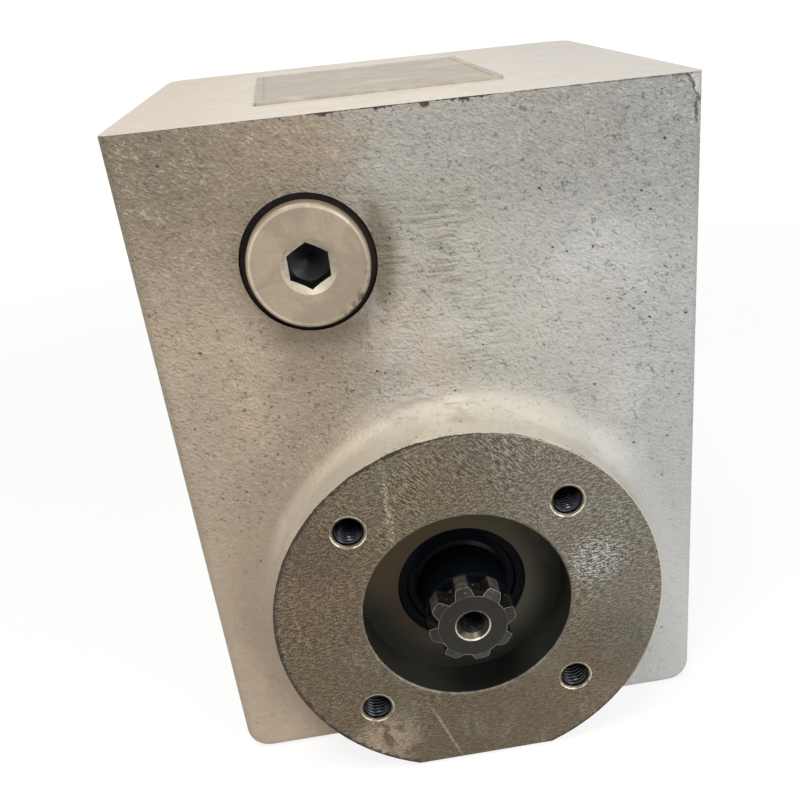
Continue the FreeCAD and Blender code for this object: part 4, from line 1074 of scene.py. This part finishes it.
class WormShaft(bpy.types.Operator):
    """Finish the worm shaft and cut the thread in its end"""

    bl_idname = "gearbox.worm_shaft"
    bl_label = "Worm shaft"

    def execute(self, context):
        axis = ("Y", Vector())
        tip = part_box("worm_shaft")[0].y / MM
        teeth_end = tip + SPLINE_LENGTH
        journal_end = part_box("front_bearing_inner_ring")[1].y / MM - 0.1
        core, mouth_radius = CENTRE_HOLE_RADII
        materials = [
            shaft_steel("shaft_face", True),
            shaft_steel("tooth_front", True),
            # Lighter copies of the dark steel: the tooth tops as a painted highlight where the lamp lights
            # them, the spaces a little lighter
            shaft_steel("tooth_space", False, 1.8),
            shaft_steel("tooth_top", False, 10.0),
            # The steel journal behind the spline is made black with no shine, as painted shade
            rubber("journal_in_painted_shade", colours().rubber, (0.3, 0.45), None, 0.02),
            thread_mouth(core, mouth_radius),
            metal("inner_shaft", srgb(168, 168, 166), srgb(120, 120, 120), (0.2, 0.34), 0.006, axis, 5, 0.3),
        ]
        tooth_front, tooth_space, tooth_top, journal, mouth, inner = range(1, 7)

        def choose(places, normals):
            x, y, z = places.T
            radius = numpy.hypot(x, z)
            outward = (normals[:, 0] * x + normals[:, 2] * z) / numpy.maximum(radius, 0.01)
            index = numpy.zeros(len(places))
            index[(radius > SPLINE_ROOT_RADIUS - NEAR) & (y > tip + SKIN)] = tooth_space
            facing = (radius > SPLINE_ROOT_RADIUS) & (normals[:, 1] < -0.5)
            index[facing & (y < tip + 1.5)] = tooth_front
            index[(radius > SPLINE_TIP_START) & (outward > 0.99) & (y < teeth_end)] = tooth_top
            index[between(y, teeth_end - 0.7, journal_end)] = journal
            index[y > journal_end] = inner
            cone = between(y, tip + SKIN, tip + CENTRE_HOLE_CONE)
            index[cone & (radius < mouth_radius + NEAR)] = mouth
            index[(y > tip + CENTRE_HOLE_CONE) & (radius < core + 0.1)] = tooth_space
            return index

        dress_faces("worm_shaft", materials, choose)
        building = bmesh.new()
        end = Vector((0, tip * MM, 0))
        radius = MOUNTS["shaft_centre_thread"]["dims"]["r_mm"] * MM - THREAD_GAP
        start, depth = 0.0016, 0.021
        thread_ridges(
            building, end, Vector((0, 1, 0)), radius, start, depth, sizes().centre_pitch, CENTRE_RIDGE
        )
        made = metal(
            "centre_thread", srgb(13, 12, 11), srgb(5, 5, 5), (0.3, 0.5), 0.003, fineness=0.8, metallic=0.5
        )
        name = "shaft_end_thread"
        new_piece(name, finished_mesh(name, building), "worm", made)
        dress(["worm_retaining_ring"], metal("ring_steel", srgb(96, 94, 92), srgb(52, 50, 50)))
        return {"FINISHED"}


def rounded_outline(low, high, corner, steps=6):
    """Points of a rounded rectangle in the XY plane, anticlockwise."""
    points = []
    centres = [
        (high.x - corner, high.y - corner, 0),
        (low.x + corner, high.y - corner, 90),
        (low.x + corner, low.y + corner, 180),
        (high.x - corner, low.y + corner, 270),
    ]
    for x, y, first in centres:
        for step in range(steps + 1):
            angle = math.radians(first + 90 * step / steps)
            points.append((x + corner * math.cos(angle), y + corner * math.sin(angle)))
    return points


class DataPlate(bpy.types.Operator):
    """Make the blank plate with its pressed border"""

    bl_idname = "gearbox.data_plate"
    bl_label = "Data plate"

    def execute(self, context):
        size = sizes()
        low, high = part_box("data_plate")
        centre, wide, deep = plate_frame()
        middle = Vector(centre) * MM
        reach = Vector((wide, deep, 0)) / 2 * MM
        turned, straight = math.sin(size.plate_turn), math.cos(size.plate_turn)
        border = size.plate_border
        groove = size.plate_groove
        corner, sharpest = 0.0015, 0.0004
        top = high.z
        steps = [
            (0.0, low.z),
            (0.0, top - 0.0002),
            (0.00006, top - 0.00006),
            (0.0002, top),
            (border, top),
            (border + 0.0002, top - groove),
            (border + 0.0006, top - groove),
            (border + 0.0008, top - 0.0001),
            (border + 0.0030, top - 0.00008),
        ]
        building = bmesh.new()
        loops = []
        for inset, height in steps:
            far = reach - Vector((inset, inset, 0))
            loop = []
            for x, y in rounded_outline(-far, far, max(corner - inset * 0.5, sharpest)):
                right = middle.x + x * straight - y * turned
                behind = middle.y + x * turned + y * straight
                loop.append(building.verts.new((right, behind, height)))
            loops.append(loop)
        for inner, outer in zip(loops[1:], loops):
            for i in range(len(outer)):
                j = (i + 1) % len(outer)
                building.faces.new((outer[i], outer[j], inner[j], inner[i]))
        building.faces.new(loops[-1])
        building.faces.new(list(reversed(loops[0])))
        name = "blank_data_plate"
        plate = new_piece(name, finished_mesh(name, building, 30), "gearbox", plate_metal())
        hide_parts("data_plate")
        return {"FINISHED"}


class OilPlugs(bpy.types.Operator):
    """Finish the oil plugs and their seals"""

    bl_idname = "gearbox.oil_plugs"
    bl_label = "Oil plugs"

    def execute(self, context):
        look = colours()
        centre = in_mm(box_middle("oil_filler_plug"))
        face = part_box("oil_filler_plug")[0].y / MM
        socket = metal("socket_black", srgb(26, 27, 28), srgb(12, 12, 13), (0.34, 0.5), metallic=0.3)
        bright = metal(
            "plug_mouth", darker(look.plug_pale_and_highlight, 0.72), look.plug, (0.4, 0.55), 0.004,
            fineness=0.6, soil=0.25, metallic=0.1,
        )
        chamfer_depth = 1.7
        chamfer, hexagon = 1, 2

        def choose(places, normals):
            x, y, z = places.T
            hollow = (numpy.hypot(x - centre[0], z - centre[2]) < PLUG_SOCKET_RADIUS) & (y > face + SKIN)
            index = numpy.zeros(len(places))
            index[hollow] = hexagon
            index[hollow & (normals[:, 1] < -0.3) & (y < face + chamfer_depth)] = chamfer
            return index

        dress_faces("oil_filler_plug", [plug_metal(), bright, socket], choose)
        dress(["oil_filler_seal"], rubber("filler_seal_rubber", srgb(36, 30, 30), (0.4, 0.6), None, 0.1))
        for name in ("drain_plug", "oil_level_plug"):
            plated = metal(
                name + "_metal", look.plug, srgb(120, 110, 92), (0.3, 0.46), 0.01, soil=0.5, metallic=0.6
            )
            dress([name], plated)
            copper = metal(name + "_copper", srgb(190, 124, 84), srgb(128, 76, 50), soil=0.5)
            dress([name + "_washer"], copper)
        return {"FINISHED"}


class Covers(bpy.types.Operator):
    """Paint the side covers and the rear cover, with gaskets and screws"""

    bl_idname = "gearbox.covers"
    bl_label = "Covers"

    def execute(self, context):
        tone = colours().paint_mid
        axis = in_mm(MOUNTS["output_bore"]["pos_m"])[1:]
        dress(["left_cover", "right_cover"], smooth_paint("side_cover_paint", tone, (axis, COVER_RADIUS)))
        dress(["rear_cover"], smooth_paint("rear_cover_paint", tone))
        paper = smooth_paint("gasket_paper", srgb(122, 104, 78))
        dress(["left_cover_gasket", "right_cover_gasket", "rear_cover_gasket"], paper)
        screws = metal("blackened_screws", srgb(78, 76, 74), srgb(34, 33, 33), marks=0.008, soil=0.5)
        dress(["left_cover_screws", "right_cover_screws", "rear_cover_screws"], screws)
        dress(["rear_bearing_shim"], metal("shim_steel", srgb(150, 150, 148), srgb(110, 110, 108)))
        return {"FINISHED"}


class Seals(bpy.types.Operator):
    """Finish the shaft seals and their springs"""

    bl_idname = "gearbox.seals"
    bl_label = "Seals"

    def execute(self, context):
        wheel = Vector(MOUNTS["output_bore"]["pos_m"])
        black = rubber("input_seal_rubber", colours().rubber, (0.24, 0.4), ("Y", Vector()), 0.035)
        dress(["input_seal"], black)
        outputs = rubber("output_seal_rubber", srgb(14, 17, 20), (0.3, 0.5), ("X", wheel), 0.3)
        dress(["left_output_seal", "right_output_seal"], outputs)
        springs = metal("spring_steel", srgb(150, 150, 150), srgb(90, 90, 90), fineness=6.0)
        dress(["input_seal_spring", "left_output_seal_spring", "right_output_seal_spring"], springs)
        return {"FINISHED"}


class WheelAndShaft(bpy.types.Operator):
    """Finish the hollow shaft, the worm wheel and its hub"""

    bl_idname = "gearbox.wheel_and_shaft"
    bl_label = "Wheel and hollow shaft"

    def execute(self, context):
        axis = ("X", Vector(MOUNTS["output_bore"]["pos_m"]))
        steel = metal(
            "hollow_shaft_steel", srgb(150, 146, 138), srgb(84, 80, 74), (0.26, 0.44), 0.01, axis, 2.6, 0.5
        )
        dress(["output_shaft"], steel)
        sleeve = metal("sleeve_steel", srgb(150, 150, 148), srgb(100, 100, 98), (0.26, 0.4), 0.01, axis)
        dress(["left_spacer_sleeve", "right_spacer_sleeve"], sleeve)
        bronze = metal("wheel_bronze", srgb(202, 160, 92), srgb(150, 108, 54), (0.24, 0.42), 0.012, axis, 3.0)
        dress(["worm_wheel_rim"], bronze)
        iron = metal("hub_iron", srgb(110, 108, 106), srgb(66, 65, 64), (0.4, 0.6), 0.02, axis, 2.5)
        dress(["worm_wheel_hub"], iron)
        dress(["wheel_key", "rim_lock_pins"], metal("key_steel", srgb(130, 130, 128), srgb(90, 90, 88)))
        return {"FINISHED"}


class Bearings(bpy.types.Operator):
    """Finish the ball bearings"""

    bl_idname = "gearbox.bearings"
    bl_label = "Bearings"

    def execute(self, context):
        wheel = Vector(MOUNTS["output_bore"]["pos_m"])
        for first, second, axis in (("front", "rear", ("Y", Vector())), ("left", "right", ("X", wheel))):
            light, dark = srgb(188, 188, 186), srgb(140, 140, 140)
            rings = metal(first + "_race_steel", light, dark, (0.16, 0.3), 0.004, axis, 5.0, 0.3)
            balls = metal(
                first + "_ball_steel", srgb(214, 214, 212), srgb(176, 176, 176), (0.06, 0.14), 0.001, soil=0.2
            )
            brass = metal(
                first + "_cage_brass", srgb(208, 172, 104), srgb(156, 122, 66), (0.26, 0.42), 0.01, axis
            )
            for end in (first, second):
                name = end + "_bearing_"
                dress([name + "outer_ring", name + "inner_ring"], rings)
                dress([name + "balls"], balls)
                dress([name + "cage"], brass)
        return {"FINISHED"}


def area_lamp(name, place, aim, size, power, tone):
    """A soft square lamp."""
    lamp = bpy.data.lights.new(name, "AREA")
    lamp.size = size
    lamp.energy = power
    lamp.color = tone
    holder = bpy.data.objects.new(name, lamp)
    bpy.context.scene.collection.objects.link(holder)
    holder.location = place
    holder.rotation_mode = "QUATERNION"
    holder.rotation_quaternion = (Vector(aim) - Vector(place)).to_track_quat("-Z", "Y")


def seen_directly(tree):
    """One where a ray comes from the camera, a gloss or a glass."""
    path = tree.node("LightPath").outputs
    camera, glossy, through = [
        Value(tree, path[name]) for name in ("Is Camera Ray", "Is Glossy Ray", "Is Transmission Ray")
    ]
    return camera.larger(glossy.larger(through))


class Stage(bpy.types.Operator):
    """Set up floor, background, lamps and camera"""

    bl_idname = "gearbox.stage"
    bl_label = "Stage"

    def execute(self, context):
        scene = context.scene
        scene.view_settings.view_transform = "Standard"
        white = (1.0, 1.0, 1.0)

        building = bmesh.new()
        bmesh.ops.create_grid(building, x_segments=2, y_segments=2, size=4.0)
        mesh = bpy.data.meshes.new("floor")
        building.to_mesh(mesh)
        building.free()
        floor = bpy.data.objects.new("floor", mesh)
        floor.location = (0, 0, CAD_BOX[0].z)
        scene.collection.objects.link(floor)
        made = bpy.data.materials.new("pale_floor")
        made.use_nodes = True
        made.node_tree.nodes.clear()
        tree = Tree(made.node_tree)
        cloth = tree.add("BsdfDiffuse", 0, {"Color": (0.6, 0.6, 0.6)})
        x, y = tree.add("TexCoord", "Object").split()[:2]
        strength = x.reach(y, (0.0, 0.0)).ramp(0.3, 1.3, 1.2, 1.4)
        glow = tree.add("Emission", 0, {"Color": white, "Strength": strength})
        both = tree.add("MixShader", 0, {0: seen_directly(tree) * 0.7, 1: cloth, 2: glow})
        tree.node("OutputMaterial", {"Surface": both})
        mesh.materials.append(made)

        world = bpy.data.worlds.new("pale_room")
        world.use_nodes = True
        world.node_tree.nodes.clear()
        tree = Tree(world.node_tree)
        strength = seen_directly(tree).ramp(0.0, 1.0, 0.36, 1.0)
        sky = tree.add("Background", 0, {"Color": white, "Strength": strength})
        tree.node("OutputWorld", {"Surface": sky})
        scene.world = world

        height = sizes().lamp_height
        area_lamp("overhead", (-0.15, -0.35, height), (0, 0.06, 0.05), 0.4, 7.0, (1.0, 0.97, 0.93))
        area_lamp("window", (0.6, -0.9, 0.35), (0, 0.02, 0.03), 0.5, 5.0, (0.95, 0.98, 1.0))

        # Focal length and optical centre in pixels, from the fit to the photo
        photo_size = 800
        focal = 990.76
        optical_centre = (471.41, 520.82)
        camera = bpy.data.cameras.new("photo_camera")
        camera.sensor_width = 36.0
        camera.lens = camera.sensor_width * focal / photo_size
        camera.shift_x = (photo_size / 2 - optical_centre[0]) / photo_size
        camera.shift_y = (optical_centre[1] - photo_size / 2) / photo_size
        camera.clip_start = 0.01
        holder = bpy.data.objects.new("photo_camera", camera)
        holder.location = (-0.02010, -0.23338, 0.15877)
        holder.rotation_euler = Euler([math.radians(a) for a in (60.784, 4.899, -8.444)], "XYZ")
        scene.collection.objects.link(holder)
        scene.camera = holder
        return {"FINISHED"}


OPERATORS = (
    Housing,
    HoleThreads,
    WormShaft,
    DataPlate,
    OilPlugs,
    Covers,
    Seals,
    WheelAndShaft,
    Bearings,
    Stage,
)


class GearboxPanel(bpy.types.Panel):
    """Sizes, colours and steps of the gearbox finish"""

    bl_idname = "VIEW3D_PT_gearbox"
    bl_label = "Motor gearbox"
    bl_space_type = "VIEW_3D"
    bl_region_type = "UI"
    bl_category = "Gearbox"

    def draw(self, context):
        layout = self.layout
        for group in (context.scene.gearbox_sizes, context.scene.gearbox_colours):
            box = layout.box()
            for name in group.__annotations__:
                box.prop(group, name)
        for operator in OPERATORS:
            layout.operator(operator.bl_idname)


CLASSES = (GearboxSizes, GearboxColours, *OPERATORS, GearboxPanel)


def register():
    for each in CLASSES:
        bpy.utils.register_class(each)
    bpy.types.Scene.gearbox_sizes = PointerProperty(type=GearboxSizes)
    bpy.types.Scene.gearbox_colours = PointerProperty(type=GearboxColours)


def unregister():
    del bpy.types.Scene.gearbox_colours
    del bpy.types.Scene.gearbox_sizes
    for each in reversed(CLASSES):
        bpy.utils.unregister_class(each)


def main():
    register()
    bpy.ops.gearbox.housing()
    bpy.ops.gearbox.hole_threads()
    bpy.ops.gearbox.worm_shaft()
    bpy.ops.gearbox.data_plate()
    bpy.ops.gearbox.oil_plugs()
    bpy.ops.gearbox.covers()
    bpy.ops.gearbox.seals()
    bpy.ops.gearbox.wheel_and_shaft()
    bpy.ops.gearbox.bearings()
    bpy.ops.gearbox.stage()


if __name__ == "__main__":
    main()
